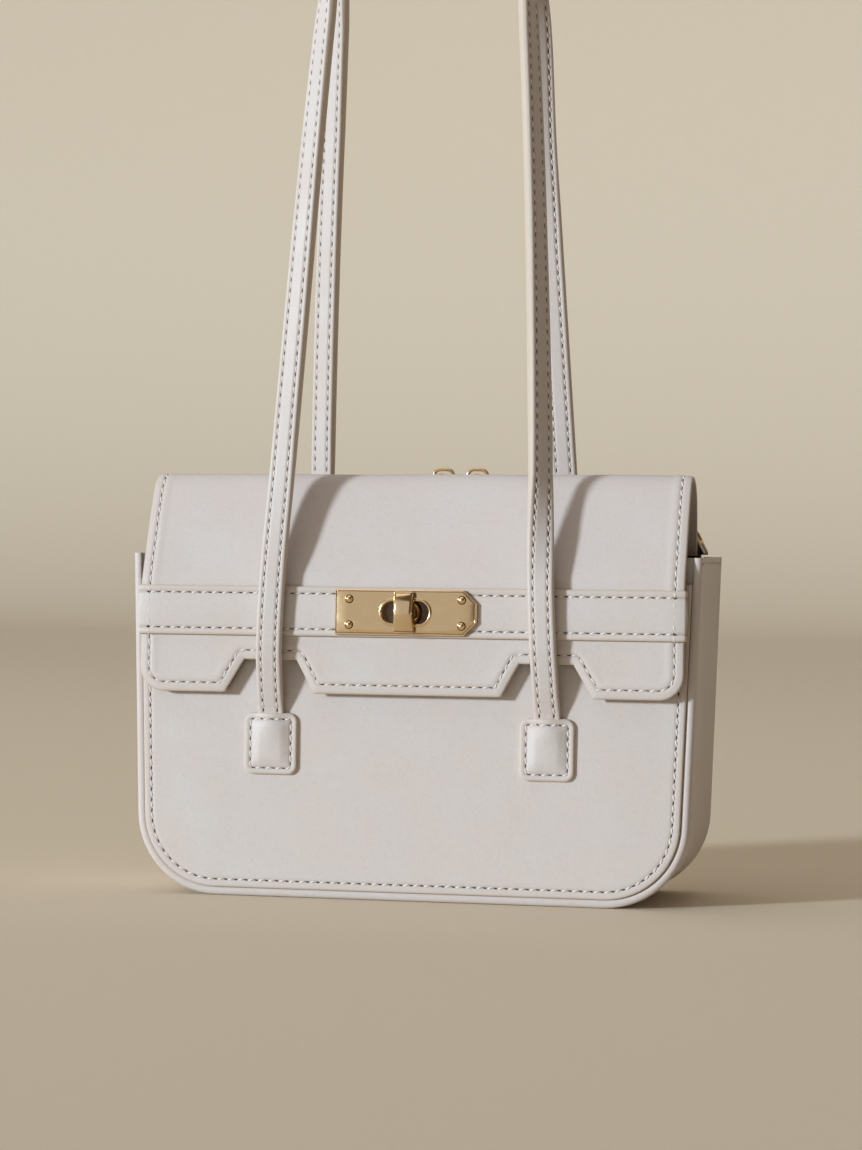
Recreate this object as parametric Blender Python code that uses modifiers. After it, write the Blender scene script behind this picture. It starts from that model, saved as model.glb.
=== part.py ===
"""Small flap shoulder bag with two carrying handles, a turn lock and a top zip.

Frame: X is the width, the front faces -Y, Z is up and the bag stands on z = 0.
All lengths are in metres.
"""

import math

import bpy
import bmesh
from mathutils import Matrix, Vector

MM = 0.001

# clearance kept between neighbouring pieces, and overrun of every cutter
clearance = 0.3 * MM
cutter_overrun = 1.0 * MM

# bag body
body_half_width_top = 111.5 * MM
body_half_width_base = 107.0 * MM
body_top = 132.0 * MM
base_corner_radius = 32.0 * MM
corner_steps = 10
front_face_base = 33.5 * MM
front_lean_share = 0.04
back_face = 33.5 * MM

# front and back panels
panel_thickness = 2.2 * MM
panel_inset = 3.3 * MM
panel_edge_bevel = 0.6 * MM
front_panel_top = 122.0 * MM
back_panel_top = 131.0 * MM

# gusset strip with a rolled bead at both seams
gusset_thickness = 1.8 * MM
flange_thickness = 1.4 * MM
flange_width = 7.0 * MM
bead_width = 2.6 * MM
bead_height = 1.5 * MM
bead_side_share = 0.6
bead_inner_share = 0.12
gusset_setback = panel_thickness + clearance

# linings and base board
lining_thickness = 0.8 * MM
lining_inset = flange_width + clearance
front_lining_top = 120.0 * MM
back_lining_top = 125.0 * MM
gusset_lining_inset = 3.9 * MM
gusset_lining_top = 130.0 * MM
board_thickness = 1.5 * MM
board_end_gap = 3.0 * MM
board_half_length = body_half_width_base - base_corner_radius - board_end_gap
board_front = 26.5 * MM
board_back = 27.5 * MM
board_bottom = gusset_thickness + clearance

# divider between the two compartments
divider_front = 0.4 * MM
divider_thickness = 1.6 * MM
divider_inset = gusset_lining_inset + lining_thickness + clearance
divider_shoulder = 130.0 * MM

# zip line, level in the middle and falling to both ends
zip_y = 7.0 * MM
zip_end_rise = 1.6 * MM
zip_end_height = body_top + zip_end_rise
zip_rise = 24.9 * MM
zip_height = zip_end_height + zip_rise
zip_end_inset = 3.2 * MM
zip_half_length = body_half_width_top - zip_end_inset
zip_fall_length = 19.5 * MM
zip_level_half = zip_half_length - zip_fall_length
zip_steps = 32
teeth_half_width = 1.7 * MM
teeth_half_height = 1.1 * MM
tape_half_thickness = 0.4 * MM
front_tape_width = 4.6 * MM
rear_tape_width = 4.0 * MM
zip_meeting_x = 11.5 * MM
zip_gap_half = 3.3 * MM
zip_teeth_inset = 4.5 * MM
zip_teeth_end = zip_half_length - zip_teeth_inset
end_stop_length = 2.4 * MM
end_stop_half_height = 1.4 * MM

# rear zip panel
zip_panel_thickness = 1.2 * MM
zip_panel_shoulder_y = 28.6 * MM
zip_panel_shoulder_z = 133.4 * MM
zip_panel_hem_y = 30.3 * MM
zip_panel_hem_top = 131.4 * MM
zip_panel_hem_bottom = 126.0 * MM
zip_panel_hem_side_inset = 8.0 * MM
zip_panel_hem_half_length = body_half_width_top - zip_panel_hem_side_inset

# zip sliders and their pulls
slider_length = 10.6 * MM
slider_half_width = 4.1 * MM
slider_plate_thickness = 1.2 * MM
slider_underplate_thickness = 1.0 * MM
slider_post_length = 1.1 * MM
slider_post_setback = 0.3 * MM
slider_post_half_width = 1.3 * MM
slider_nose_gap_half = 1.5 * MM
bridge_half_length = 4.7 * MM
bridge_window_half_length = 3.6 * MM
bridge_half_width = 1.0 * MM
bridge_height = 5.0 * MM
bridge_bar_thickness = 1.0 * MM
bridge_corner_bevel = 0.7 * MM
pull_axis_height = 2.2 * MM
pull_length = 17.0 * MM
pull_half_width = 4.3 * MM
pull_thickness = 1.1 * MM
pull_end = 0.7 * MM
pull_hole_start = 0.9 * MM
pull_hole_end = 6.0 * MM
pull_hole_half_width = 1.7 * MM
pull_rest_angle = math.radians(8.0)
pull_edge_bevel = 0.3 * MM

# flap: rear leg, ridge and front leg
flap_side_inset = 5.5 * MM
flap_half_width = body_half_width_top - flap_side_inset
flap_leather_thickness = 1.5 * MM
flap_lining_thickness = 0.8 * MM
flap_face_offset = 5.3 * MM
flap_bottom = 78.6 * MM
flap_bend_drop = 4.2 * MM
flap_corner_radius = 9.5 * MM
flap_corner_steps = 5
notch_top = 91.3 * MM
notch_inner_bottom_x = 36.5 * MM
notch_inner_top_x = 43.4 * MM
notch_outer_top_x = 64.2 * MM
notch_outer_bottom_x = 71.8 * MM
flap_lining_margin = 1.2 * MM
ridge_y = -12.0 * MM
ridge_z = 163.2 * MM
flap_front_curve = [
    (-15.6 * MM, 161.7 * MM),
    (-18.9 * MM, 158.0 * MM),
    (-21.9 * MM, 152.0 * MM),
    (-24.8 * MM, 145.5 * MM),
    (-28.0 * MM, 137.5 * MM),
    (-30.9 * MM, 130.3 * MM),
    (-33.0 * MM, 125.2 * MM),
]
flap_rear_curve = [
    (-8.6 * MM, 162.6 * MM),
    (-4.9 * MM, 160.6 * MM),
    (-1.9 * MM, 156.8 * MM),
    (-0.3 * MM, 151.8 * MM),
    (0.1 * MM, 146.0 * MM),
    (0.1 * MM, 132.6 * MM),
]
flap_bend_top = flap_front_curve[-1][1] - flap_bend_drop

# stitched band across the flap
band_drop = 1.4 * MM
band_height = 19.0 * MM
band_top = flap_bend_top - band_drop
band_bottom = band_top - band_height
band_thickness = 1.3 * MM
band_side_wrap = 0.9 * MM
band_edge_bevel = 0.4 * MM

# turn lock: plate, ferrule and back plate on the flap, toggle on the body
lock_height = band_bottom + band_height / 2
plate_half_length = 27.6 * MM
plate_half_height = 8.65 * MM
plate_thickness = 1.7 * MM
plate_chamfer = 5.0 * MM
plate_edge_bevel = 0.5 * MM
back_plate_half_length = 24.0 * MM
back_plate_half_height = 7.6 * MM
back_plate_thickness = 0.9 * MM
slot_half_length = 9.05 * MM
slot_half_height = 4.1 * MM
ferrule_wall = 0.8 * MM
ferrule_rim_width = 1.3 * MM
ferrule_rim_thickness = 0.4 * MM
slot_steps = 8
rivet_x = 21.9 * MM
rivet_half_spacing = 4.9 * MM
rivet_radius = 1.6 * MM
rivet_dome_height = 1.0 * MM
rivet_dome_shares = [(0.0, 1.0), (0.5, 0.85), (0.87, 0.5), (1.0, 0.0), (0.0, 0.0)]
lock_base_radius = 4.8 * MM
lock_base_thickness = 0.9 * MM
post_radius = 2.6 * MM
post_bore_radius = 2.9 * MM
post_foot_radius = 4.0 * MM
post_foot_thickness = 0.8 * MM
washer_radius = 8.0 * MM
washer_thickness = 0.8 * MM
toggle_half_width = 3.9 * MM
toggle_half_height = 7.9 * MM
toggle_thickness = 4.2 * MM
toggle_edge_bevel = 1.7 * MM
round_steps = 24

# tabs that hold the handles
tab_x = 54.0 * MM
tab_half_width = 10.5 * MM
tab_bottom = 47.2 * MM
tab_top = 71.0 * MM
tab_thickness = 2.8 * MM
tab_corner_radius = 3.6 * MM
tab_corner_steps = 4
tab_edge_bevel = 0.9 * MM

# handles: a flat strap that turns sideways on its way up to the arch
strap_half_width = 5.1 * MM
strap_half_thickness = 1.7 * MM
strap_edge_share = 0.35
strap_pivot_offset = 2.3 * MM
strap_pivot_rise = 2.4 * MM
strap_spline_steps = 4
arch_height = 367.0 * MM
arch_radius = 38.0 * MM
arch_steps = 13
arch_y = 6.6 * MM
front_strap_points = [
    (53.5 * MM, 37.6 * MM, 91.0 * MM),
    (53.1 * MM, 38.9 * MM, 101.0 * MM),
    (52.3 * MM, 38.6 * MM, 120.0 * MM),
    (51.5 * MM, 35.8 * MM, 140.0 * MM),
    (50.5 * MM, 31.4 * MM, 163.0 * MM),
    (47.7 * MM, 23.6 * MM, 220.0 * MM),
    (44.4 * MM, 16.8 * MM, 280.0 * MM),
    (40.7 * MM, 10.8 * MM, 335.0 * MM),
]
# height and turn of the strap's face towards the arch's outside, in degrees,
# for the right leg and for the left leg, which hang a little differently
front_strap_turns = (
    ((122.0 * MM, 0.0), (163.0 * MM, 48.0), (250.0 * MM, 71.0), (372.0 * MM, 90.0)),
    ((122.0 * MM, 0.0), (163.0 * MM, 7.0), (250.0 * MM, 20.0), (341.0 * MM, 40.0),
     (367.0 * MM, 64.0), (381.0 * MM, 90.0)),
)
rear_strap_turns = (
    ((250.0 * MM, 0.0), (341.0 * MM, -34.0), (367.0 * MM, -64.0), (381.0 * MM, -90.0)),
    ((122.0 * MM, 0.0), (163.0 * MM, -18.0), (300.0 * MM, -22.0), (341.0 * MM, -36.0),
     (367.0 * MM, -64.0), (381.0 * MM, -90.0)),
)
rear_strap_points = [
    (53.5 * MM, 36.6 * MM, 91.0 * MM),
    (53.1 * MM, 36.8 * MM, 108.0 * MM),
    (52.2 * MM, 36.7 * MM, 124.0 * MM),
    (51.5 * MM, 34.9 * MM, 140.0 * MM),
    (50.5 * MM, 30.2 * MM, 163.0 * MM),
    (47.7 * MM, 22.8 * MM, 220.0 * MM),
    (44.4 * MM, 16.4 * MM, 280.0 * MM),
    (40.7 * MM, 10.8 * MM, 335.0 * MM),
]

# colours: linear red, green, blue
leather_colour = (0.66, 0.58, 0.53)
lining_colour = (0.05, 0.045, 0.045)
board_colour = (0.28, 0.22, 0.16)
gold_colour = (0.86, 0.66, 0.40)
tape_colour = (0.60, 0.53, 0.48)


def clear_scene():
    """Remove what the scene holds at the start."""
    for old in list(bpy.data.objects):
        bpy.data.objects.remove(old, do_unlink=True)


def make_collection(name):
    """Add one collection to the scene."""
    group = bpy.data.collections.new(name)
    bpy.context.scene.collection.children.link(group)
    return group


def make_material(name, colour, roughness, metallic):
    """Plain Principled material."""
    material = bpy.data.materials.new(name)
    material.use_nodes = True
    shader = material.node_tree.nodes["Principled BSDF"]
    shader.inputs["Base Color"].default_value = (*colour, 1.0)
    shader.inputs["Roughness"].default_value = roughness
    shader.inputs["Metallic"].default_value = metallic
    material.diffuse_color = (*colour, 1.0)
    return material


def front_frame():
    """Matrix of the leaning front face: X width, -Y outwards, Z up along the face."""
    lean = math.atan(front_lean_share)
    return Matrix.Translation((0, -front_face_base, 0)) @ Matrix.Rotation(-lean, 4, "X")


def front_point(x, out, up):
    """World point at a distance out of the front face."""
    return front_frame() @ Vector((x, -out, up))


def add_object(name, mesh, material, group, origin):
    """Link a mesh given in world coordinates, with its origin at a chosen point."""
    mesh.transform(Matrix.Translation(-Vector(origin)))
    obj = bpy.data.objects.new(name, mesh)
    obj.location = origin
    mesh.materials.append(material)
    group.objects.link(obj)
    return obj


def finish_mesh(name, bm):
    """Turn an edit mesh into a mesh with its normals outwards."""
    bmesh.ops.recalc_face_normals(bm, faces=bm.faces[:])
    mesh = bpy.data.meshes.new(name)
    bm.to_mesh(mesh)
    bm.free()
    return mesh


def ring_mesh(name, rings):
    """Closed body through a row of rings with equally many points, capped at both ends."""
    bm = bmesh.new()
    rows = [[bm.verts.new(p) for p in ring] for ring in rings]
    count = len(rows[0])
    for near, far in zip(rows, rows[1:]):
        for i in range(count):
            j = (i + 1) % count
            bm.faces.new((near[i], near[j], far[j], far[i]))
    bm.faces.new(rows[0])
    bm.faces.new(rows[-1])
    return finish_mesh(name, bm)


def prism_mesh(name, outline, to_point, near, far):
    """Body between two copies of an outline at the distances near and far."""
    rings = [[to_point(a, depth, b) for a, b in outline] for depth in (near, far)]
    return ring_mesh(name, rings)


def box_mesh(name, low, high):
    """Box between two corners."""
    bm = bmesh.new()
    bmesh.ops.create_cube(bm, size=1.0)
    low, high = Vector(low), Vector(high)
    size = high - low
    bmesh.ops.scale(bm, vec=size, verts=bm.verts[:])
    bmesh.ops.translate(bm, vec=(low + high) / 2, verts=bm.verts[:])
    return finish_mesh(name, bm)


def bevel_edges(obj, width, segments):
    """Live bevel on the sharp edges."""
    bevel = obj.modifiers.new("edge bevel", "BEVEL")
    bevel.width = width
    bevel.segments = segments
    bevel.limit_method = "ANGLE"
    bevel.angle_limit = math.radians(40)


def apply_boolean(obj, cutter, operation, cutters):
    """Exact boolean with a hidden tool body."""
    for user in list(cutter.users_collection):
        user.objects.unlink(cutter)
    cutters.objects.link(cutter)
    cutter.hide_render = True
    cutter.display_type = "WIRE"
    boolean = obj.modifiers.new(operation.lower(), "BOOLEAN")
    boolean.operation = operation
    boolean.solver = "EXACT"
    boolean.object = cutter


def shade_round(obj):
    """Smooth shading for a round piece."""
    for face in obj.data.polygons:
        face.use_smooth = True


def side_outline(inset):
    """Points and outward directions of the U-shaped side outline, left top to right top."""
    rise = body_top
    run = body_half_width_top - body_half_width_base
    length = math.hypot(rise, run)
    side_normal = (rise / length, -run / length)
    turn = math.atan2(run, rise)
    radius = base_corner_radius
    centre_z = radius
    reach = body_half_width_base + run * centre_z / rise
    centre_x = reach - radius * length / rise
    half = []
    start = math.radians(-90)
    end = -turn
    for i in range(corner_steps + 1):
        a = start + (end - start) * i / corner_steps
        n = (math.cos(a), math.sin(a))
        half.append(((centre_x + radius * n[0], centre_z + radius * n[1]), n))
    half.append(((body_half_width_top, body_top), side_normal))
    points = [((-x, z), (-nx, nz)) for (x, z), (nx, nz) in reversed(half)]
    points += half
    return [((x - nx * inset, z - nz * inset), (nx, nz)) for (x, z), (nx, nz) in points]


def cut_at_height(points, top):
    """U-shaped outline whose two ends are moved along their sides to a height."""
    moved = [p for p, _ in points]
    for end, beside in ((0, 1), (-1, -2)):
        (x0, z0), (x1, z1) = moved[beside], moved[end]
        share = (top - z0) / (z1 - z0)
        moved[end] = (x0 + (x1 - x0) * share, top)
    return moved


def front_plane(z):
    """Y of the leaning front face at a height."""
    return -front_face_base + front_lean_share * z


def build_gusset(leather, group):
    """Gusset strip round both sides and the base, with a bead and a flange at each seam."""
    def section(z):
        front = front_plane(z) + gusset_setback
        back = back_face - gusset_setback
        shares = (bead_inner_share, 1 - bead_inner_share)
        side = bead_height * bead_side_share
        return [
            (0, front + bead_height),
            (bead_width * shares[0], front - side),
            (bead_width / 2, front - bead_height),
            (bead_width * shares[1], front - side),
            (bead_width, front),
            (flange_width, front),
            (flange_width, front + flange_thickness),
            (gusset_thickness, front + flange_thickness),
            (gusset_thickness, back - flange_thickness),
            (flange_width, back - flange_thickness),
            (flange_width, back),
            (bead_width, back),
            (bead_width * shares[1], back + side),
            (bead_width / 2, back + bead_height),
            (bead_width * shares[0], back + side),
            (0, back - bead_height),
        ]
    rings = []
    for (x, z), (nx, nz) in side_outline(0):
        rings.append([(x - nx * r, y, z - nz * r) for r, y in section(z)])
    rings[0] = [(x, y, body_top) for x, y, _ in rings[0]]
    rings[-1] = [(x, y, body_top) for x, y, _ in rings[-1]]
    return add_object("gusset", ring_mesh("gusset", rings), leather, group, (0, 0, 0))


def build_panels(leather, lining, group, cutters):
    """Front and back panels with their linings."""
    def front(a, out, b):
        return front_point(a, out, b)

    def back(a, out, b):
        return (a, back_face + out, b)

    behind = -panel_thickness - clearance
    made = {}
    for name, place, top, inset, near, far, material in (
        ("front_panel", front, front_panel_top, panel_inset, 0, -panel_thickness, leather),
        ("back_panel", back, back_panel_top, panel_inset, 0, -panel_thickness, leather),
        ("front_lining", front, front_lining_top, lining_inset, behind,
         behind - lining_thickness, lining),
        ("back_lining", back, back_lining_top, lining_inset, behind,
         behind - lining_thickness, lining),
    ):
        outline = cut_at_height(side_outline(inset), top)
        mesh = prism_mesh(name, outline, place, near, far)
        made[name] = add_object(name, mesh, material, group, (0, 0, 0))
    for name in ("front_panel", "front_lining"):
        cut_post_bore(made[name], leather, group, cutters)
    for name in ("front_panel", "back_panel"):
        bevel_edges(made[name], panel_edge_bevel, 2)
    return made


def turned_object(name, profile, material, group, place):
    """Turned body: a profile of radius and height pairs, with its axis along local Z."""
    bm = bmesh.new()
    verts = [bm.verts.new((r, 0, h)) for r, h in profile]
    for a, b in zip(verts, verts[1:]):
        bm.edges.new((a, b))
    if profile[0][0] > 0:
        bm.edges.new((verts[-1], verts[0]))
    mesh = bpy.data.meshes.new(name)
    bm.to_mesh(mesh)
    bm.free()
    obj = bpy.data.objects.new(name, mesh)
    mesh.materials.append(material)
    obj.matrix_world = place
    group.objects.link(obj)
    screw = obj.modifiers.new("turn", "SCREW")
    screw.steps = round_steps
    screw.render_steps = round_steps
    screw.use_merge_vertices = True
    screw.merge_threshold = clearance / 10
    screw.use_smooth_shade = True
    return obj


def lock_frame(x, out, up):
    """Frame on the front face with local Z pointing out of it."""
    quarter_turn = Matrix.Rotation(math.pi / 2, 4, "X")
    return front_frame() @ Matrix.Translation((x, -out, up)) @ quarter_turn


def cut_post_bore(obj, material, group, cutters):
    """Bore for the toggle post."""
    depth = panel_thickness + lining_thickness + 2 * clearance + cutter_overrun
    profile = [
        (0, cutter_overrun),
        (post_bore_radius, cutter_overrun),
        (post_bore_radius, -depth),
        (0, -depth),
    ]
    place = lock_frame(0, 0, lock_height)
    cutter = turned_object(obj.name + "_bore", profile, material, group, place)
    apply_boolean(obj, cutter, "DIFFERENCE", cutters)


def build_inside(lining, board, group):
    """Gusset lining, base board and divider."""
    near = side_outline(gusset_lining_inset)
    far = side_outline(gusset_lining_inset + lining_thickness)
    outer = cut_at_height(near, gusset_lining_top)
    inner = cut_at_height(far, gusset_lining_top)
    gap = gusset_setback + flange_thickness + clearance
    rings = []
    for (xo, zo), (xi, zi) in zip(outer, inner):
        front = front_plane(zo) + gap
        back = back_face - gap
        rings.append([(xo, front, zo), (xo, back, zo), (xi, back, zi), (xi, front, zi)])
    mesh = ring_mesh("gusset_lining", rings)
    add_object("gusset_lining", mesh, lining, group, (0, 0, 0))
    low = (-board_half_length, -board_front, board_bottom)
    high = (board_half_length, board_back, board_bottom + board_thickness)
    add_object("base_board", box_mesh("base_board", low, high), board, group, (0, 0, board_bottom))
    outline = cut_at_height(side_outline(divider_inset), divider_shoulder)
    top = []
    for i in range(zip_steps + 1):
        x = zip_half_length * (1 - 2 * i / zip_steps)
        steep = math.hypot(2 * clearance, zip_line(x + clearance) - zip_line(x - clearance))
        drop = (tape_half_thickness + clearance) * steep / (2 * clearance)
        top.append((x, zip_line(x) - drop))
    outline = outline + top

    def place(a, depth, b):
        return (a, depth, b)

    mesh = prism_mesh("divider", outline, place, divider_front, divider_front + divider_thickness)
    add_object("divider", mesh, lining, group, (0, 0, 0))


def zip_line(x):
    """Height of the zip at a place along the bag."""
    share = (abs(x) - zip_level_half) / (zip_half_length - zip_level_half)
    share = min(max(share, 0.0), 1.0)
    fall = 1 - math.cos(math.pi / 2 * share)
    return zip_height - (zip_height - zip_end_height) * fall


def zip_strip(name, start, end, low_y, high_y, half_height, material, group):
    """Strip that follows the zip line between two places."""
    rings = []
    steps = max(2, math.ceil(zip_steps * (end - start) / (2 * zip_half_length)))
    for i in range(steps + 1):
        x = start + (end - start) * i / steps
        slope = zip_line(x + clearance) - zip_line(x - clearance)
        length = math.hypot(2 * clearance, slope)
        nx, nz = -slope / length, 2 * clearance / length
        z = zip_line(x)
        ring = []
        for y, h in ((low_y, -1), (high_y, -1), (high_y, 1), (low_y, 1)):
            ring.append((x + nx * h * half_height, y, z + nz * h * half_height))
        rings.append(ring)
    return add_object(name, ring_mesh(name, rings), material, group, ((start + end) / 2, zip_y, zip_height))


def build_zip(tape, gold, leather, group):
    """Tapes, teeth, end stops and the rear zip panel."""
    teeth_front = zip_y - teeth_half_width
    teeth_back = zip_y + teeth_half_width
    front_edge = teeth_front - clearance
    back_edge = teeth_back + clearance
    half = zip_half_length
    zip_strip("zip_tape_front", -half, half, front_edge - front_tape_width, front_edge,
              tape_half_thickness, tape, group)
    zip_strip("zip_tape_rear", -half, half, back_edge, back_edge + rear_tape_width,
              tape_half_thickness, tape, group)
    gap = zip_gap_half
    for side, start, end in (
        ("left", -zip_teeth_end, zip_meeting_x - gap),
        ("right", zip_meeting_x + gap, zip_teeth_end),
    ):
        zip_strip("zip_teeth_" + side, start, end, teeth_front, teeth_back,
                  teeth_half_height, gold, group)
    for side, sign in (("left", -1), ("right", 1)):
        near = sign * (zip_teeth_end + clearance)
        far = sign * (zip_teeth_end + clearance + end_stop_length)
        zip_strip("zip_end_stop_" + side, min(near, far), max(near, far), teeth_front,
                  teeth_back, end_stop_half_height, gold, group)
    rings = []
    half_t = zip_panel_thickness / 2
    start_y = back_edge + rear_tape_width + clearance + half_t
    for i in range(zip_steps + 1):
        x = zip_half_length * (2 * i / zip_steps - 1)
        z = zip_line(x)
        middle_y = (start_y + zip_panel_shoulder_y) / 2
        middle_z = (z + zip_panel_shoulder_z) / 2
        line = [
            (start_y, z),
            (middle_y, middle_z),
            (zip_panel_shoulder_y, zip_panel_shoulder_z),
            (zip_panel_hem_y, zip_panel_hem_top),
            (zip_panel_hem_y, zip_panel_hem_bottom),
        ]
        outer, inner = offset_line(line, half_t), offset_line(line, -half_t)
        narrow = zip_panel_hem_half_length / zip_half_length
        shares = [1, (1 + narrow) / 2, narrow, narrow, narrow]
        shares = shares + shares[::-1]
        ring = outer + inner[::-1]
        rings.append([(x * share, y, h) for share, (y, h) in zip(shares, ring)])
    mesh = ring_mesh("zip_panel_rear", rings)
    add_object("zip_panel_rear", mesh, leather, group, (0, back_face, body_top))


def offset_line(line, distance):
    """Open line moved sideways by a distance, mitred at its corners."""
    result = []
    for i, (a, b) in enumerate(line):
        before = line[max(i - 1, 0)]
        after = line[min(i + 1, len(line) - 1)]
        normals = []
        for p, q in ((before, (a, b)), ((a, b), after)):
            da, db = q[0] - p[0], q[1] - p[1]
            length = math.hypot(da, db)
            if length > 0:
                normals.append((-db / length, da / length))
        na = sum(n[0] for n in normals) / len(normals)
        nb = sum(n[1] for n in normals) / len(normals)
        size = na * na + nb * nb
        result.append((a + distance * na / size, b + distance * nb / size))
    return result


def build_slider(side, sign, gold, group, cutters):
    """Zip slider with a bridge along it, and its pull lying back from under the bridge."""
    nose = zip_meeting_x + sign * slider_nose_gap_half
    tail = nose + sign * slider_length
    low_x, high_x = min(nose, tail), max(nose, tail)
    post_near = nose + sign * slider_post_setback
    post_far = post_near + sign * slider_post_length
    top = zip_height + teeth_half_height + clearance
    bottom = zip_height - teeth_half_height - clearance
    plate_top = top + slider_plate_thickness
    origin = ((low_x + high_x) / 2, zip_y, zip_height)
    plate = box_mesh(
        "plate",
        (low_x, zip_y - slider_half_width, top),
        (high_x, zip_y + slider_half_width, plate_top),
    )
    slider = add_object("zip_slider_" + side, plate, gold, group, origin)
    centre = (low_x + high_x) / 2
    tools = [
        (
            "post",
            (min(post_near, post_far), zip_y - slider_post_half_width, bottom - clearance),
            (max(post_near, post_far), zip_y + slider_post_half_width, top + clearance),
        ),
        (
            "underplate",
            (low_x, zip_y - slider_half_width, bottom - slider_underplate_thickness),
            (high_x, zip_y + slider_half_width, bottom),
        ),
    ]
    for label, low, high in tools:
        name = slider.name + "_" + label
        tool = add_object(name, box_mesh(name, low, high), gold, group, origin)
        apply_boolean(slider, tool, "UNION", cutters)
    foot = plate_top - clearance
    rise = plate_top + bridge_height
    inner = rise - bridge_bar_thickness
    bevel = bridge_corner_bevel
    arch = [
        (-bridge_half_length, foot), (-bridge_half_length, rise - 2 * bevel),
        (-bridge_half_length + bevel, rise - bevel / 2), (-bridge_half_length + 2 * bevel, rise),
        (bridge_half_length - 2 * bevel, rise), (bridge_half_length - bevel, rise - bevel / 2),
        (bridge_half_length, rise - 2 * bevel), (bridge_half_length, foot),
        (bridge_window_half_length, foot), (bridge_window_half_length, inner - bevel),
        (bridge_window_half_length - bevel, inner), (-bridge_window_half_length + bevel, inner),
        (-bridge_window_half_length, inner - bevel), (-bridge_window_half_length, foot),
    ]

    def place(a, depth, b):
        return (centre + a, zip_y + depth, b)

    name = slider.name + "_bridge"
    mesh = prism_mesh(name, arch, place, -bridge_half_width, bridge_half_width)
    bridge = add_object(name, mesh, gold, group, origin)
    apply_boolean(slider, bridge, "UNION", cutters)
    build_pull(side, sign, centre, plate_top + pull_axis_height, gold, group, cutters)


def build_pull(side, sign, x, z, gold, group, cutters):
    """Oval pull whose end bar lies across under the bridge."""
    radius = pull_half_width
    outline = [(radius, -pull_end), (radius, pull_length - radius)]
    for i in range(1, slot_steps):
        a = math.pi * i / slot_steps
        outline.append((radius * math.cos(a), pull_length - radius + radius * math.sin(a)))
    outline += [(-radius, pull_length - radius), (-radius, -pull_end)]
    hole = pull_hole_half_width
    window = [
        (hole, pull_hole_start),
        (hole, pull_hole_end),
        (-hole, pull_hole_end),
        (-hole, pull_hole_start),
    ]

    def place(a, depth, b):
        return (sign * b, a, depth)

    half = pull_thickness / 2
    far = half + cutter_overrun
    name = "zip_pull_" + side
    pull = add_object(name, prism_mesh(name, outline, place, -half, half), gold, group, (0, 0, 0))
    tool_name = name + "_window"
    tool = add_object(tool_name, prism_mesh(tool_name, window, place, -far, far), gold, group, (0, 0, 0))
    for obj in (pull, tool):
        obj.location = (x, zip_y, z)
        obj.rotation_euler = (0, sign * pull_rest_angle, 0)
    apply_boolean(pull, tool, "DIFFERENCE", cutters)
    bevel_edges(pull, pull_edge_bevel, 2)


def flap_front_line():
    """Outer face of the moving flap from the ridge to where it turns straight."""
    end = front_point(0, flap_face_offset, flap_bend_top)
    return [(ridge_y, ridge_z)] + flap_front_curve + [(end.y, end.z)]


def flap_columns(half_width, margin):
    """Places across the flap with the height of its lower edge at each."""
    bottom = flap_bottom + margin
    right = [
        (0, bottom),
        (notch_inner_bottom_x - margin, bottom),
        (notch_inner_top_x - margin, notch_top + margin),
        (notch_outer_top_x + margin, notch_top + margin),
        (notch_outer_bottom_x + margin, bottom),
    ]
    radius = flap_corner_radius
    for i in range(flap_corner_steps + 1):
        a = math.pi / 2 * i / flap_corner_steps
        x = half_width - radius + radius * math.sin(a)
        right.append((x, bottom + radius - radius * math.cos(a)))
    left = [(-x, z) for x, z in reversed(right[1:])]
    return left + right


def flap_sheet(name, half_width, margin, near, far, material, group, skip):
    """Layer of the flap between two depths below its outer face."""
    line = flap_front_line()
    straight_down = front_point(0, flap_face_offset, flap_bottom)
    whole = line + [(straight_down.y, straight_down.z)]
    outer = offset_line(whole, near)
    inner = offset_line(whole, far)
    outer[0] = (ridge_y, ridge_z - near)
    inner[0] = (ridge_y, ridge_z - far)
    outer, inner = outer[skip:-1], inner[skip:-1]
    rings = []
    for x, low in flap_columns(half_width, margin):
        out_low = front_point(x, flap_face_offset - near, low)
        in_low = front_point(x, flap_face_offset - far, low)
        ring = [(x, y, z) for y, z in outer]
        ring += [tuple(out_low), tuple(in_low)]
        ring += [(x, y, z) for y, z in reversed(inner)]
        rings.append(ring)
    return add_object(name, ring_mesh(name, rings), material, group, (0, ridge_y, ridge_z))


def slot_outline(grow):
    """Oblong slot outline round the lock centre, grown by a distance."""
    radius = slot_half_height + grow
    straight = slot_half_length - slot_half_height
    outline = []
    for sign in (1, -1):
        for i in range(slot_steps + 1):
            a = math.pi * i / slot_steps - math.pi / 2
            x = sign * (straight + radius * math.cos(a))
            outline.append((x, lock_height + sign * radius * math.sin(a)))
    return outline


def cut_slot(obj, material, group, cutters):
    """Cut the lock slot through a layer of the flap."""
    def place(a, out, b):
        return front_point(a, out, b)

    grow = ferrule_wall + clearance
    far = flap_face_offset + band_thickness + plate_thickness + 3 * clearance + cutter_overrun
    name = obj.name + "_slot"
    mesh = prism_mesh(name, slot_outline(grow), place, cutter_overrun, far)
    cutter = add_object(name, mesh, material, group, (0, ridge_y, ridge_z))
    apply_boolean(obj, cutter, "DIFFERENCE", cutters)


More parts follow.
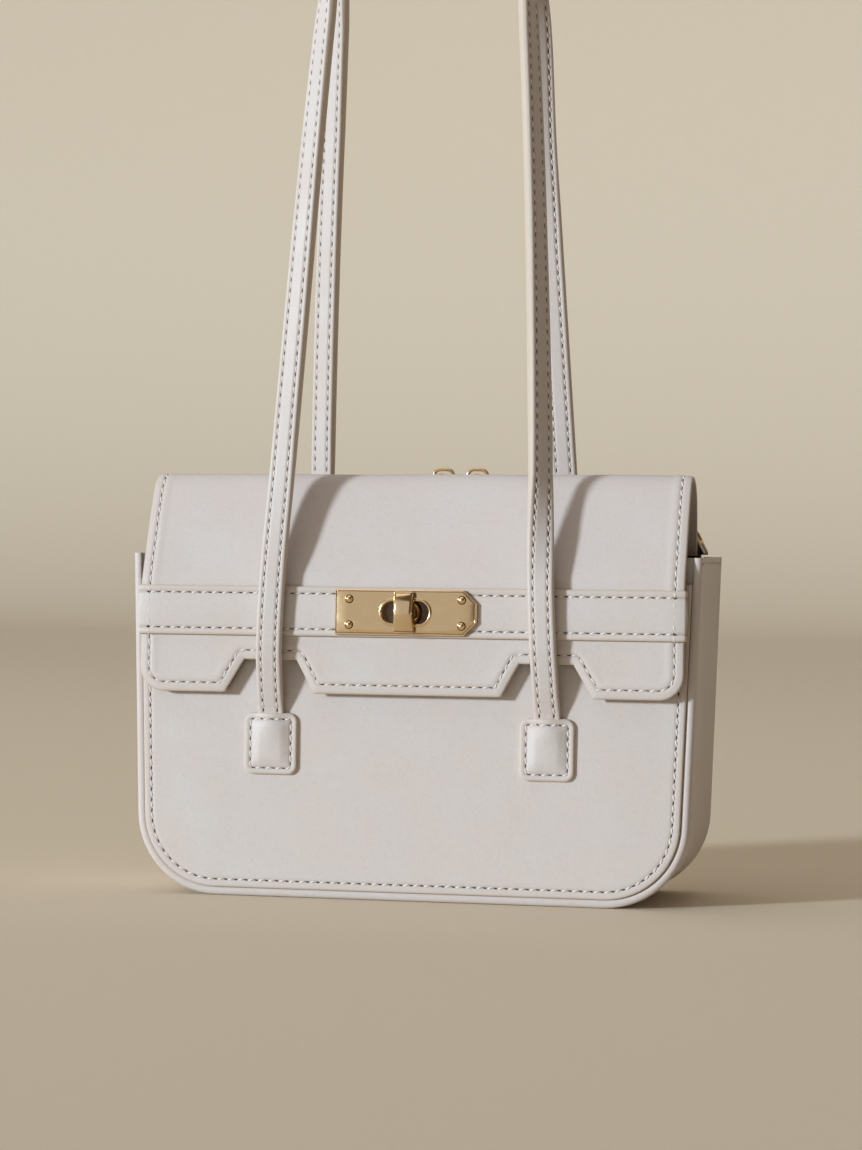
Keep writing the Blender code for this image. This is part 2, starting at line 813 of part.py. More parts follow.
def build_flap(leather, lining, group, cutters):
    """Fixed rear leg, moving leather, flap lining and the stitched band."""
    line = [(ridge_y, ridge_z)] + flap_rear_curve
    outer = line
    inner = offset_line(line, -flap_leather_thickness)
    inner[0] = (ridge_y, ridge_z - flap_leather_thickness)
    rings = []
    for x in (-flap_half_width, 0, flap_half_width):
        ring = [(x, y, z) for y, z in outer + inner[::-1]]
        ring[0] = (x, ridge_y + clearance, ring[0][2])
        ring[-1] = (x, ridge_y + clearance, ring[-1][2])
        rings.append(ring)
    mesh = ring_mesh("flap_root", rings)
    add_object("flap_root", mesh, leather, group, (0, ridge_y, ridge_z))
    near_lining = flap_leather_thickness + clearance
    skin = flap_sheet("flap_leather", flap_half_width, 0, 0, flap_leather_thickness, leather, group, 0)
    under = flap_sheet(
        "flap_lining",
        flap_half_width - flap_lining_margin,
        flap_lining_margin,
        near_lining,
        near_lining + flap_lining_thickness,
        lining,
        group,
        1,
    )

    def place(a, out, b):
        return front_point(a, out, b)

    near = flap_face_offset + clearance
    far = near + band_thickness
    side = flap_half_width + clearance
    wide = side + band_side_wrap
    back = flap_face_offset - flap_leather_thickness
    rings = []
    for up in (band_bottom, band_top):
        ring = [
            (-side, back), (-side, near), (side, near), (side, back),
            (wide, back), (wide, far), (-wide, far), (-wide, back),
        ]
        rings.append([tuple(place(a, out, up)) for a, out in ring])
    mesh = ring_mesh("flap_band", rings)
    band = add_object("flap_band", mesh, leather, group, (0, ridge_y, ridge_z))
    for obj in (skin, under, band):
        cut_slot(obj, leather, group, cutters)
    bevel_edges(band, band_edge_bevel, 1)
    return far


def build_lock(gold, group, cutters, band_face):
    """Turn lock: plate, ferrule, back plate and rivets on the flap, toggle on the body."""
    def place(a, out, b):
        return front_point(a, out, b)

    origin = (0, ridge_y, ridge_z)
    plate_back = band_face + clearance
    plate_face = plate_back + plate_thickness
    low, high = lock_height - plate_half_height, lock_height + plate_half_height
    half = plate_half_length
    outline = [
        (-half, low), (half - plate_chamfer, low), (half, low + plate_chamfer),
        (half, high - plate_chamfer), (half - plate_chamfer, high), (-half, high),
    ]
    mesh = prism_mesh("lock_plate", outline, place, plate_back, plate_face)
    plate = add_object("lock_plate", mesh, gold, group, origin)
    cut_slot(plate, gold, group, cutters)
    back_far = flap_face_offset - flap_leather_thickness - flap_lining_thickness - 2 * clearance
    back_near = back_far - back_plate_thickness
    low = lock_height - back_plate_half_height
    high = lock_height + back_plate_half_height
    half = back_plate_half_length
    outline = [(-half, low), (half, low), (half, high), (-half, high)]
    mesh = prism_mesh("lock_back_plate", outline, place, back_near, back_far)
    back_plate = add_object("lock_back_plate", mesh, gold, group, origin)
    cut_slot(back_plate, gold, group, cutters)
    build_ferrule(gold, group, place, back_near, plate_face, origin)
    for i, (sx, sz) in enumerate(((-1, 1), (1, 1), (-1, -1), (1, -1))):
        at = lock_frame(sx * rivet_x, plate_face + clearance, lock_height + sz * rivet_half_spacing)
        profile = [(rivet_radius * r, rivet_dome_height * h) for r, h in rivet_dome_shares]
        turned_object("lock_rivet_" + str(i + 1), profile, gold, group, at)
    bevel_edges(plate, plate_edge_bevel, 2)
    return plate_face


def build_ferrule(gold, group, place, back, face, origin):
    """Sleeve through the slot with a rim on the plate."""
    rim_back = face + clearance
    rim_face = rim_back + ferrule_rim_thickness
    section = [
        (0, back), (0, rim_face), (ferrule_rim_width, rim_face), (ferrule_rim_width, rim_back),
        (ferrule_wall, rim_back), (ferrule_wall, back),
    ]
    loops = [[place(a, out, b) for a, b in slot_outline(grow)] for grow, out in section]
    bm = bmesh.new()
    rows = [[bm.verts.new(p) for p in loop] for loop in loops]
    count = len(rows[0])
    for k, near in enumerate(rows):
        far = rows[(k + 1) % len(rows)]
        for i in range(count):
            j = (i + 1) % count
            bm.faces.new((near[i], near[j], far[j], far[i]))
    add_object("lock_ferrule", finish_mesh("lock_ferrule", bm), gold, group, origin)


def build_toggle(gold, group, plate_face):
    """Toggle head and post, with the base and the inner washer that carry them."""
    centre = lock_frame(0, 0, lock_height)
    base_back = clearance
    base_face = base_back + lock_base_thickness
    ring_profile = [
        (post_bore_radius, base_face),
        (lock_base_radius, base_face),
        (lock_base_radius, base_back),
        (post_bore_radius, base_back),
    ]
    turned_object("lock_base", ring_profile, gold, group, centre)
    washer_face = -panel_thickness - lining_thickness - 2 * clearance
    washer_back = washer_face - washer_thickness
    ring_profile = [
        (post_bore_radius, washer_face),
        (washer_radius, washer_face),
        (washer_radius, washer_back),
        (post_bore_radius, washer_back),
    ]
    turned_object("lock_washer", ring_profile, gold, group, centre)
    head_back = plate_face + ferrule_rim_thickness + 2 * clearance
    post_face = head_back - clearance
    foot_face = washer_back - clearance
    foot_back = foot_face - post_foot_thickness
    profile = [
        (0, post_face),
        (post_radius, post_face),
        (post_radius, foot_face),
        (post_foot_radius, foot_face),
        (post_foot_radius, foot_back),
        (0, foot_back),
    ]
    turned_object("toggle_post", profile, gold, group, centre)
    low = (-toggle_half_width, -toggle_half_height, head_back)
    high = (toggle_half_width, toggle_half_height, head_back + toggle_thickness)
    head = add_object("toggle_head", box_mesh("toggle_head", low, high), gold, group, (0, 0, 0))
    head.matrix_world = centre
    bevel_edges(head, toggle_edge_bevel, 4)
    shade_round(head)


def build_tabs(leather, group):
    """Four tabs, two on the front face and two on the back face."""
    def front(a, out, b):
        return front_point(a, out, b)

    def back(a, out, b):
        return (a, back_face + out, b)

    radius = tab_corner_radius
    for face, place in (("front", front), ("rear", back)):
        for side, sign in (("left", -1), ("right", 1)):
            outline = []
            for quarter, (sx, sz) in enumerate(((1, -1), (1, 1), (-1, 1), (-1, -1))):
                cx = sign * tab_x + sx * (tab_half_width - radius)
                cz = tab_bottom + radius if sz < 0 else tab_top - radius
                for i in range(tab_corner_steps + 1):
                    a = math.pi / 2 * (quarter - 1 + i / tab_corner_steps)
                    outline.append((cx + radius * math.cos(a), cz + radius * math.sin(a)))
            name = face + "_tab_" + side
            mesh = prism_mesh(name, outline, place, clearance, clearance + tab_thickness)
            tab = add_object(name, mesh, leather, group, (0, 0, 0))
            bevel_edges(tab, tab_edge_bevel, 2)


def spline_points(points):
    """Smooth row of points through a row of given points."""
    result = []
    last = len(points) - 1
    for i in range(last):
        p0, p1 = points[max(i - 1, 0)], points[i]
        p2, p3 = points[i + 1], points[min(i + 2, last)]
        for k in range(strap_spline_steps):
            t = k / strap_spline_steps
            value = []
            for a, b, c, d in zip(p0, p1, p2, p3):
                value.append(0.5 * (2 * b + (c - a) * t + (2 * a - 5 * b + 4 * c - d) * t * t
                                    + (3 * b - a - 3 * c + d) * t ** 3))
            result.append(tuple(value))
    result.append(tuple(points[-1]))
    return result


def handle_pivot(front):
    """Pivot of a handle: distance from the middle plane and height."""
    height = tab_top + strap_pivot_rise
    if front:
        point = front_point(0, strap_pivot_offset, height)
        return -point.y, point.z
    return back_face + strap_pivot_offset, height


def turn_at(table, height):
    """Turn in radians at a height, straight between the table's rows and level beyond them."""
    before = table[0]
    for after in table:
        if height <= after[0]:
            if after is before:
                return math.radians(before[1])
            share = (height - before[0]) / (after[0] - before[0])
            return math.radians(before[1] + (after[1] - before[1]) * share)
        before = after
    return math.radians(before[1])


def build_handle(name, front, given, turns, leather, group):
    """Strap of one handle: up the right leg, over the arch and down the left leg."""
    away = -1 if front else 1
    pivot_out, pivot_z = handle_pivot(front)
    leg = [(tab_x, pivot_out, pivot_z)] + given
    arch = []
    for i in range(arch_steps + 1):
        a = math.pi / 2 * i / (arch_steps + 0.5)
        arch.append((arch_radius * math.cos(a), arch_y, arch_height + arch_radius * math.sin(a)))
    half = spline_points(leg + [arch[0]]) + arch[1:]
    path = half + [(-x, y, z) for x, y, z in reversed(half)]
    middle = len(half)
    rings = []
    for i, (x, out, z) in enumerate(path):
        before = Vector(path[max(i - 1, 0)])
        after = Vector(path[min(i + 1, len(path) - 1)])
        along = (after - before).normalized()
        side = 1 if i < middle else -1
        turn = turn_at(turns[0] if i < middle else turns[1], z)
        radial = Vector((x, 0, max(z - arch_height, 0))).normalized()
        outward = Vector((0, 1, 0)) * math.cos(turn) + radial * math.sin(turn)
        if turn == 0:
            outward = Vector((0, 1, 0))
        outward = (outward - along * outward.dot(along)).normalized()
        width = along.cross(outward).normalized() * side
        centre = Vector((x, out, z))
        ring = []
        w, t = strap_half_width, strap_half_thickness
        e = t * strap_edge_share
        for a, b in ((-w, -t + e), (-w, t - e), (-w + e, t), (w - e, t),
                     (w, t - e), (w, -t + e), (w - e, -t), (-w + e, -t)):
            ring.append(centre + width * side * a + outward * b)
        rings.append([(p.x, p.y * away, p.z) for p in ring])
    mesh = ring_mesh(name, rings)
    strap = add_object(name, mesh, leather, group, (0, away * pivot_out, pivot_z))
    return strap


def main():
    """Build every piece of the bag."""
    clear_scene()
    group = make_collection("shoulder_bag")
    cutters = make_collection("cutters")
    leather = make_material("smooth_leather", leather_colour, 0.45, 0.0)
    lining = make_material("woven_lining", lining_colour, 0.85, 0.0)
    board = make_material("fibre_board", board_colour, 0.8, 0.0)
    gold = make_material("light_gold_plating", gold_colour, 0.25, 1.0)
    tape = make_material("zip_tape", tape_colour, 0.8, 0.0)
    build_gusset(leather, group)
    build_panels(leather, lining, group, cutters)
    build_inside(lining, board, group)
    build_zip(tape, gold, leather, group)
    for side, sign in (("left", -1), ("right", 1)):
        build_slider(side, sign, gold, group, cutters)
    band_face = build_flap(leather, lining, group, cutters)
    plate_face = build_lock(gold, group, cutters, band_face)
    build_toggle(gold, group, plate_face)
    build_tabs(leather, group)
    build_handle("front_handle_strap", True, front_strap_points, front_strap_turns,
                 leather, group)
    build_handle("rear_handle_strap", False, rear_strap_points, rear_strap_turns,
                 leather, group)


main()
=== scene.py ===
"""Looks of a small flap shoulder bag in pale coated leather with light gold fittings.

Every length is in metres and in the part's own frame: X is the width, the front
faces -Y, Z is up and the bag stands on z = 0.
"""

import logging
import math
from dataclasses import dataclass, field
from enum import Enum

import bmesh
import bpy
import numpy as np
from mathutils import Matrix


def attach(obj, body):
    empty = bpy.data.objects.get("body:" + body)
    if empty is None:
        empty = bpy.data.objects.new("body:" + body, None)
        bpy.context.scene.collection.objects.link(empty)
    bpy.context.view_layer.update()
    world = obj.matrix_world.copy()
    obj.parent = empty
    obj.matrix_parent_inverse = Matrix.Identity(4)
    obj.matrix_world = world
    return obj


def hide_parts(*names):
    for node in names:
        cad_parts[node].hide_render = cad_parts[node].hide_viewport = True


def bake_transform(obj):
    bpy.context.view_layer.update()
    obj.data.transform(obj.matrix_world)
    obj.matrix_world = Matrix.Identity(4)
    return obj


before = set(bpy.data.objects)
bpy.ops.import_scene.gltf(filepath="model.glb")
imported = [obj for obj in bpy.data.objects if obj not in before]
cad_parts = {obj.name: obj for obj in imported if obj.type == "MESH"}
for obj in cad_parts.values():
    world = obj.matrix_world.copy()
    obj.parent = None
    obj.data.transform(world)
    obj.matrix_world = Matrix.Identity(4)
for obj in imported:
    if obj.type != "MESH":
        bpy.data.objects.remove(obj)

LOG = logging.getLogger("shoulder_bag")
MM = 0.001
LEAN_RISE = 0.04
LEAN = math.atan(LEAN_RISE)
FRONT_BASE_Y = -33.5 * MM
BACK_Y = 33.5 * MM
LOCK_UP = 110.1 * MM
WINDOW_HALF = 11.4 * MM
TAB_X = 54.0 * MM
MIX = {"data_type": "RGBA"}

Array = np.ndarray
Amount = Array | float
Vector = tuple[float, float, float]
Object = bpy.types.Object
NodeTree = bpy.types.NodeTree


# --- faces of the bag and small number helpers ---


class Side(Enum):
    """The two large faces of the body."""

    FRONT = "front"
    REAR = "rear"

    def points(self, x: Array, out: Array, up: Array) -> Array:
        """Points on this face.

        The front face leans: a point is the foot of the face, moved out by the
        distance out square to the face and up by the distance up along it. The
        rear face stands upright.

        Args:
            x: place across the width.
            out: distance out of the face.
            up: distance up along the face.

        Returns:
            Array of points with a last axis of 3.
        """
        if self is Side.REAR:
            return join(x, BACK_Y + out, up)
        c, s = math.cos(LEAN), math.sin(LEAN)
        return join(x, FRONT_BASE_Y - out * c + up * s, out * s + up * c)

    def normal(self) -> Array:
        """Unit vector out of this face."""
        if self is Side.REAR:
            return np.array([0.0, 1.0, 0.0])
        return np.array([0.0, -math.cos(LEAN), math.sin(LEAN)])


class Hand(Enum):
    """Left and right as the front is seen, with the sign of x there."""

    LEFT = -1.0
    RIGHT = 1.0

    @property
    def label(self) -> str:
        """Word for this side in the names of pieces."""
        return self.name.lower()


def join(*parts: Amount) -> Array:
    """Values as the last axis of one array, each spread to the shape of all."""
    return np.stack(np.broadcast_arrays(*parts), -1)


def spans(breaks: list[float], counts: list[int]) -> Array:
    """Rising values in mm through the breaks, evenly spaced within each span, in metres."""
    parts = [np.linspace(a, b, n, endpoint=False) for a, b, n in zip(breaks, breaks[1:], counts)]
    return np.concatenate(parts + [np.array([breaks[-1]])]) * MM


def ease(t: Array) -> Array:
    """Smooth step: 0 below 0, 1 above 1, and 3t^2 - 2t^3 between."""
    t = np.clip(t, 0.0, 1.0)
    return t * t * (3 - 2 * t)


def bell(distance: Array, width: float) -> Array:
    """Bell curve that is 1 at distance 0 and e^-1 at one width."""
    return np.exp(-((distance / width) ** 2))


def groove(distance: Array, inset: float, width: float = 0.5 * MM) -> Array:
    """Channel that a seam presses into leather at an inset from its edge."""
    return bell(distance - inset, width)


def painted(distance: Array, solid: float, width: float) -> Array:
    """Share of edge paint: whole at the edge and faded out after solid times the width."""
    return np.clip(solid - distance / width, 0, 1)


def power(values: Array, exponent: float) -> Array:
    """Signed power: of a circle's sines and cosines it makes a superellipse."""
    return np.sign(values) * np.abs(values) ** exponent


def around(count: int) -> tuple[Array, Array]:
    """Cosines and sines of even angles once round a circle."""
    angle = np.linspace(0, 2 * math.pi, count, endpoint=False)
    return np.cos(angle), np.sin(angle)


def mirrored(values: Array, sign: Amount = -1.0) -> Array:
    """A row that starts at the middle, put after its mirror image times the sign."""
    return np.concatenate([values[:0:-1] * sign, values])


def edge_drop(distance: Array, radius: float) -> Array:
    """How far a rounded edge falls: a quarter circle of the radius, 0 further in."""
    inside = np.clip(radius - distance, 0.0, radius)
    return radius - np.sqrt(np.maximum(radius**2 - inside**2, 0.0))


def ripple(x: Array, z: Array, size: float, seed: float) -> Array:
    """Slow unevenness between -1 and 1.

    It is the mean of five sine waves of about the given size, turned and
    shifted by the seed.
    """
    k = np.arange(5)
    turn = seed + 2.4 * k
    reach = size * (0.7 + 0.25 * k)
    x, z = np.broadcast_arrays(x, z)
    ahead = x[..., None] * np.cos(turn) + z[..., None] * np.sin(turn)
    return np.sin(ahead * 2 * math.pi / reach + 1.7 * turn).mean(-1)


def smooth_line(points: Array, per_span: int) -> Array:
    """Catmull-Rom curve through the points with equally many steps in each span."""
    p = np.vstack([points[:1], points, points[-1:]])
    t = (np.arange(per_span) / per_span)[None, :, None]
    a, b, c, d = p[:-3, None], p[1:-2, None], p[2:-1, None], p[3:, None]
    curve = 0.5 * (
        2 * b + (c - a) * t + (2 * a - 5 * b + 4 * c - d) * t**2 + (3 * b - a - 3 * c + d) * t**3
    )
    return np.vstack([curve.reshape(-1, points.shape[1]), points[-1:]])


def lengths_along(points: Array) -> Array:
    """Distance from the first point to each point, measured along the line."""
    return np.concatenate([[0.0], np.cumsum(np.linalg.norm(np.diff(points, axis=0), axis=1))])


def pick_along(points: Array, run: Array, at: Array) -> Array:
    """Points of a line at given distances along it, by linear interpolation."""
    return np.stack([np.interp(at, run, points[:, k]) for k in range(points.shape[1])], -1)


def respaced(points: Array, count: int) -> Array:
    """The same line with a number of points at even distances along it."""
    run = lengths_along(points)
    return pick_along(points, run, np.linspace(0, run[-1], count))


def unit(vectors: Array) -> Array:
    """Vectors divided by their lengths."""
    return vectors / np.maximum(np.linalg.norm(vectors, axis=-1, keepdims=True), 1e-12)


def square_to(vectors: Array, axis: Array) -> Array:
    """Unit vectors along what is left of the vectors once their share along an axis is out."""
    return unit(vectors - axis * (vectors * axis).sum(-1, keepdims=True))


def distance_to_line(x: Array, z: Array, line: Array) -> Array:
    """Shortest distance from each place to an open line of straight pieces."""
    a, b = line[:-1], line[1:]
    d = b - a
    px, pz = x[..., None] - a[:, 0], z[..., None] - a[:, 1]
    t = np.clip((px * d[:, 0] + pz * d[:, 1]) / (d**2).sum(1), 0, 1)
    return np.hypot(px - t * d[:, 0], pz - t * d[:, 1]).min(-1)


def move_line(line: Array, distance: float) -> Array:
    """Line moved sideways to its left by a distance, mitred at its corners."""
    d = unit(np.diff(line, axis=0))
    n = join(-d[:, 1], d[:, 0])
    before, after = np.vstack([n[:1], n]), np.vstack([n, n[-1:]])
    mean = before + after
    return line + distance * 2 * mean / (mean**2).sum(1, keepdims=True)


# --- meshes ---


def cells(index: Array, keep: Array | None = None) -> Array:
    """Four-cornered faces between the rows and columns of an index grid."""
    quads = join(index[:-1, :-1], index[1:, :-1], index[1:, 1:], index[:-1, 1:])
    return quads.reshape(-1, 4) if keep is None else quads[keep]


@dataclass
class Shape:
    """A mesh in the making: blocks of points and faces that are joined at the end.

    Every add method takes edge, the share of edge paint at each point, and
    a share of shade painted into seam channels and metal recesses there.
    """

    points: list[Array] = field(default_factory=list)
    faces: list[Array] = field(default_factory=list)
    edge: list[Array] = field(default_factory=list)
    crease: list[Array] = field(default_factory=list)
    total: int = 0

    def add_points(self, grid: Array, edge: Amount = 0.0, crease: Amount = 0.0) -> Array:
        """Add points with a last axis of 3 and return their numbers in the grid's own layout."""
        shape = grid.shape[:-1]
        index = self.total + np.arange(int(np.prod(shape))).reshape(shape)
        self.points.append(grid.reshape(-1, 3))
        self.edge.append(np.broadcast_to(edge, shape).ravel())
        self.crease.append(np.broadcast_to(crease, shape).ravel())
        self.total += index.size
        return index

    def add_surface(self, grid: Array, round_u: bool = False, round_v: bool = False,
                    edge: Amount = 0.0, crease: Amount = 0.0) -> Array:
        """Add one surface over a grid of points, closed round in u or v where asked."""
        index = self.add_points(grid, edge, crease)
        whole = np.vstack([index, index[:1]]) if round_u else index
        whole = np.hstack([whole, whole[:, :1]]) if round_v else whole
        self.faces.append(cells(whole))
        return index

    def add_tube(self, grid: Array, edge: Amount = 0.0, crease: Amount = 0.0) -> None:
        """Add a body through rows of rings, with a fan of faces to the middle of each end ring."""
        index = self.add_surface(grid, round_v=True, edge=edge, crease=crease)
        for ring, row in ((index[0], grid[0]), (index[-1], grid[-1])):
            hub = self.add_points(row.mean(0)[None], edge=np.max(edge))
            self.faces.append(join(ring, np.roll(ring, -1), hub[0]))

    def add_slab(self, outer: Array, inner: Array, keep: Array | None = None,
                 open_ends: tuple[bool, bool] = (False, False), open_sides: bool = False,
                 edge: Amount = 0.0, crease: Amount = 0.0) -> None:
        """Add a sheet with a thickness: two surfaces and a wall wherever a kept cell meets none.

        Args:
            outer: grid of points of the outer surface.
            inner: grid of points of the inner surface, in the same layout.
            keep: cells that exist; all of them where it is None.
            open_ends: whether the first and the last row go without a wall.
            open_sides: whether the first and the last column go without one.
            edge: share of edge paint.
            crease: share of painted shade on the outer surface, darkest in seam channels.
        """
        top = self.add_points(outer, edge, crease)
        low = self.add_points(inner, edge)
        m, n = top.shape
        kept = np.ones((m - 1, n - 1), bool) if keep is None else keep
        self.faces += [cells(top, kept), cells(low, kept)[:, ::-1]]
        ringed = np.zeros((m + 1, n + 1), bool)
        ringed[1:-1, 1:-1] = kept
        for bare, here, beside in ((open_ends[0], 0, 1), (open_ends[1], -1, -2)):
            if bare:
                ringed[here] = ringed[beside]
        if open_sides:
            ringed[:, 0], ringed[:, -1] = ringed[:, 1], ringed[:, -2]
        for step_i, step_j, change in ((0, 1, ringed[:-1, 1:-1] != ringed[1:, 1:-1]),
                                       (1, 0, ringed[1:-1, :-1] != ringed[1:-1, 1:])):
            i, j = np.nonzero(change)
            k, l = i + step_i, j + step_j
            self.faces.append(join(top[i, j], top[k, l], low[k, l], low[i, j]))

    def add_copies(self, points: Array, faces: Array, centre: Array, axes: Array) -> None:
        """Add a copy of a small template at each centre.

        Args:
            points: template points (k, 3).
            faces: template faces.
            centre: places (n, 3).
            axes: unit vectors (n, 3, 3) that the template's x, y and z turn to.
        """
        placed = centre[:, None] + np.einsum("kc,ncd->nkd", points, axes)
        index = self.add_points(placed)
        self.faces.append((faces[None] + index[:, :1, None]).reshape(-1, faces.shape[1]))

    def build(self, name: str, sharp_deg: float = 60.0, tidy: bool = True) -> Object:
        """Join the blocks into one object at the origin.

        Args:
            name: the piece's name.
            sharp_deg: edges that bend by more than this stay sharp.
            tidy: merge points that coincide and turn the faces outwards.

        Returns:
            The new object, linked to the scene.
        """
        points = np.concatenate(self.points)
        used = np.zeros(len(points), bool)
        for block in self.faces:
            used[block.ravel()] = True
        renumber = np.cumsum(used) - 1
        loops = np.concatenate([renumber[b].ravel() for b in self.faces])
        sizes = np.concatenate([np.full(len(b), b.shape[1]) for b in self.faces])
        mesh = bpy.data.meshes.new(name)
        mesh.vertices.add(int(used.sum()))
        mesh.vertices.foreach_set("co", points[used].astype(np.float32).ravel())
        mesh.loops.add(len(loops))
        mesh.loops.foreach_set("vertex_index", loops.astype(np.int32))
        mesh.polygons.add(len(sizes))
        mesh.polygons.foreach_set("loop_start", (np.cumsum(sizes) - sizes).astype(np.int32))
        # the second attribute is the mask of painted shade that the materials darken by
        for label, blocks in (("edge", self.edge), ("crease", self.crease)):
            layer = mesh.attributes.new(label, "FLOAT", "POINT")
            layer.data.foreach_set("value", np.concatenate(blocks)[used].astype(np.float32))
        mesh.update(calc_edges=True)
        if tidy:
            work = bmesh.new()
            work.from_mesh(mesh)
            bmesh.ops.remove_doubles(work, verts=work.verts, dist=0.002 * MM)
            bmesh.ops.dissolve_degenerate(work, edges=work.edges, dist=0.001 * MM)
            bmesh.ops.recalc_face_normals(work, faces=work.faces)
            work.to_mesh(mesh)
            work.free()
        mesh.polygons.foreach_set("use_smooth", np.ones(len(mesh.polygons), bool))
        mesh.set_sharp_from_angle(angle=math.radians(sharp_deg))
        obj = bpy.data.objects.new(name, mesh)
        bpy.context.scene.collection.objects.link(obj)
        return obj


# --- finishes ---


def colour(code: str) -> tuple[float, float, float, float]:
    """Linear colour of an sRGB hex code such as #D9CCC5."""
    parts = [int(code[i:i + 2], 16) / 255 for i in (1, 3, 5)]
    linear = [c / 12.92 if c <= 0.04045 else ((c + 0.055) / 1.055) ** 2.4 for c in parts]
    return (*linear, 1.0)


def feed(tree: NodeTree, node: bpy.types.Node, inputs: dict) -> bpy.types.Node:
    """Give a node's sockets their values, or link them to the outputs that feed them."""
    for key, value in inputs.items():
        if isinstance(value, bpy.types.NodeSocket):
            tree.links.new(value, node.inputs[key])
        else:
            node.inputs[key].default_value = value
    return node


def add_node(tree: NodeTree, kind: str, settings: dict | None = None,
             inputs: dict | None = None) -> bpy.types.Node:
    """Add a shader node with its settings, values and links.

    Args:
        tree: the material's or world's node tree.
        kind: the node's type name after ShaderNode.
        settings: properties of the node itself.
        inputs: socket name or number, with a value or with the output that feeds it.

    Returns:
        The new node.
    """
    node = tree.nodes.new("ShaderNode" + kind)
    for key, value in (settings or {}).items():
        setattr(node, key, value)
    return feed(tree, node, inputs or {})


@dataclass(frozen=True)
class Finish:
    """A material: a Principled shader and the nodes that feed it."""

    name: str

    def sockets(self, tree: NodeTree) -> dict:
        """Add the finish's nodes and return what each socket of the shader gets."""
        raise NotImplementedError

    def material(self) -> bpy.types.Material:
        """Make the material."""
        material = bpy.data.materials.new(self.name)
        material.use_nodes = True
        tree = material.node_tree
        feed(tree, tree.nodes["Principled BSDF"], self.sockets(tree))
        return material


@dataclass(frozen=True)
class CoatedLeather(Finish):
    """Smooth split leather with a thin polyurethane coat, rolled with a very fine grain.

    To the eye it is a satin surface with a soft wide highlight, slow changes of
    tone, a pebble finer than a millimetre and cut edges sealed with a warmer paint.
    """

    name: str = "smooth_coated_leather"
    face: str = "#D3CDCA"
    warm: str = "#D3C8C3"
    paint: str = "#CDBFAF"
    deep: str = "#9A8B7F"
    roughness: float = 0.56
    cloud_mm: float = 24.0
    wrinkle_mm: Vector = (2.6, 1.3, 1.3)
    fine_mm: float = 1.6
    grain_mm: float = 0.9
    grain_depth_mm: float = 0.075

    def sockets(self, tree: NodeTree) -> dict:
        """Cloudy tone, flecks, edge paint and painted channel shade, over a pebbled and wrinkled
        height.
        """
        place = add_node(tree, "TexCoord").outputs["Object"]
        slow = add_node(tree, "TexNoise", inputs={
            "Vector": place, "Scale": 1 / (self.cloud_mm * MM), "Detail": 5.0, "Roughness": 0.62})
        cloud = add_node(tree, "MapRange", inputs={
            "Value": slow.outputs["Fac"], "From Min": 0.32, "From Max": 0.68})
        # faint specks and fine creases of the coat, drawn coarser than the real ones
        creased = add_node(tree, "Mapping", inputs={
            "Vector": place, "Scale": tuple(1 / (v * MM) for v in self.wrinkle_mm)})
        wrinkle = add_node(tree, "TexNoise", inputs={
            "Vector": creased.outputs["Vector"], "Scale": 1.0, "Detail": 6.0,
            "Roughness": 0.68, "Distortion": 0.6})
        fleck = add_node(tree, "MapRange", inputs={
            "Value": wrinkle.outputs["Fac"], "From Min": 0.52, "From Max": 0.74, "To Max": 0.13})
        edge, crease = (add_node(tree, "Attribute", {"attribute_name": name}).outputs["Fac"]
                        for name in ("edge", "crease"))
        # painted shade: the seam channels are darkened towards the deep tone
        seam_shade = add_node(tree, "Math", {"operation": "MULTIPLY", "use_clamp": True},
                        {0: crease, 1: 0.45})
        tone = colour(self.face)
        for share, code in ((cloud.outputs[0], self.warm), (fleck.outputs[0], self.deep),
                            (edge, self.paint), (seam_shade.outputs[0], self.deep)):
            tone = add_node(tree, "Mix", MIX, {0: share, 6: tone, 7: colour(code)}).outputs[2]
        # rolled pebble, drawn about twice as coarse as the real one so that it shows
        pebble = add_node(tree, "TexVoronoi", {"feature": "SMOOTH_F1"}, {
            "Vector": place, "Scale": 1 / (self.grain_mm * MM), "Smoothness": 0.7})
        fine = add_node(tree, "TexNoise", inputs={
            "Vector": place, "Scale": 1 / (self.fine_mm * MM), "Detail": 5.0, "Roughness": 0.6})
        pebbled = add_node(tree, "Math", {"operation": "MULTIPLY_ADD"},
                           {0: pebble.outputs["Distance"], 1: 0.8, 2: fine.outputs["Fac"]})
        height = add_node(tree, "Math", {"operation": "MULTIPLY_ADD"},
                          {0: wrinkle.outputs["Fac"], 1: 1.6, 2: pebbled.outputs[0]})
        bump = add_node(tree, "Bump", inputs={
            "Height": height.outputs[0], "Strength": 0.55, "Distance": self.grain_depth_mm * MM})
        gloss = add_node(tree, "MapRange", inputs={
            "Value": slow.outputs["Fac"], "From Min": 0.3, "From Max": 0.7,
            "To Min": self.roughness - 0.05, "To Max": self.roughness + 0.06})
        return {"Base Color": tone, "Normal": bump.outputs["Normal"],
                "Roughness": gloss.outputs[0], "IOR": 1.48, "Coat Weight": 0.06,
                "Coat Roughness": 0.42}


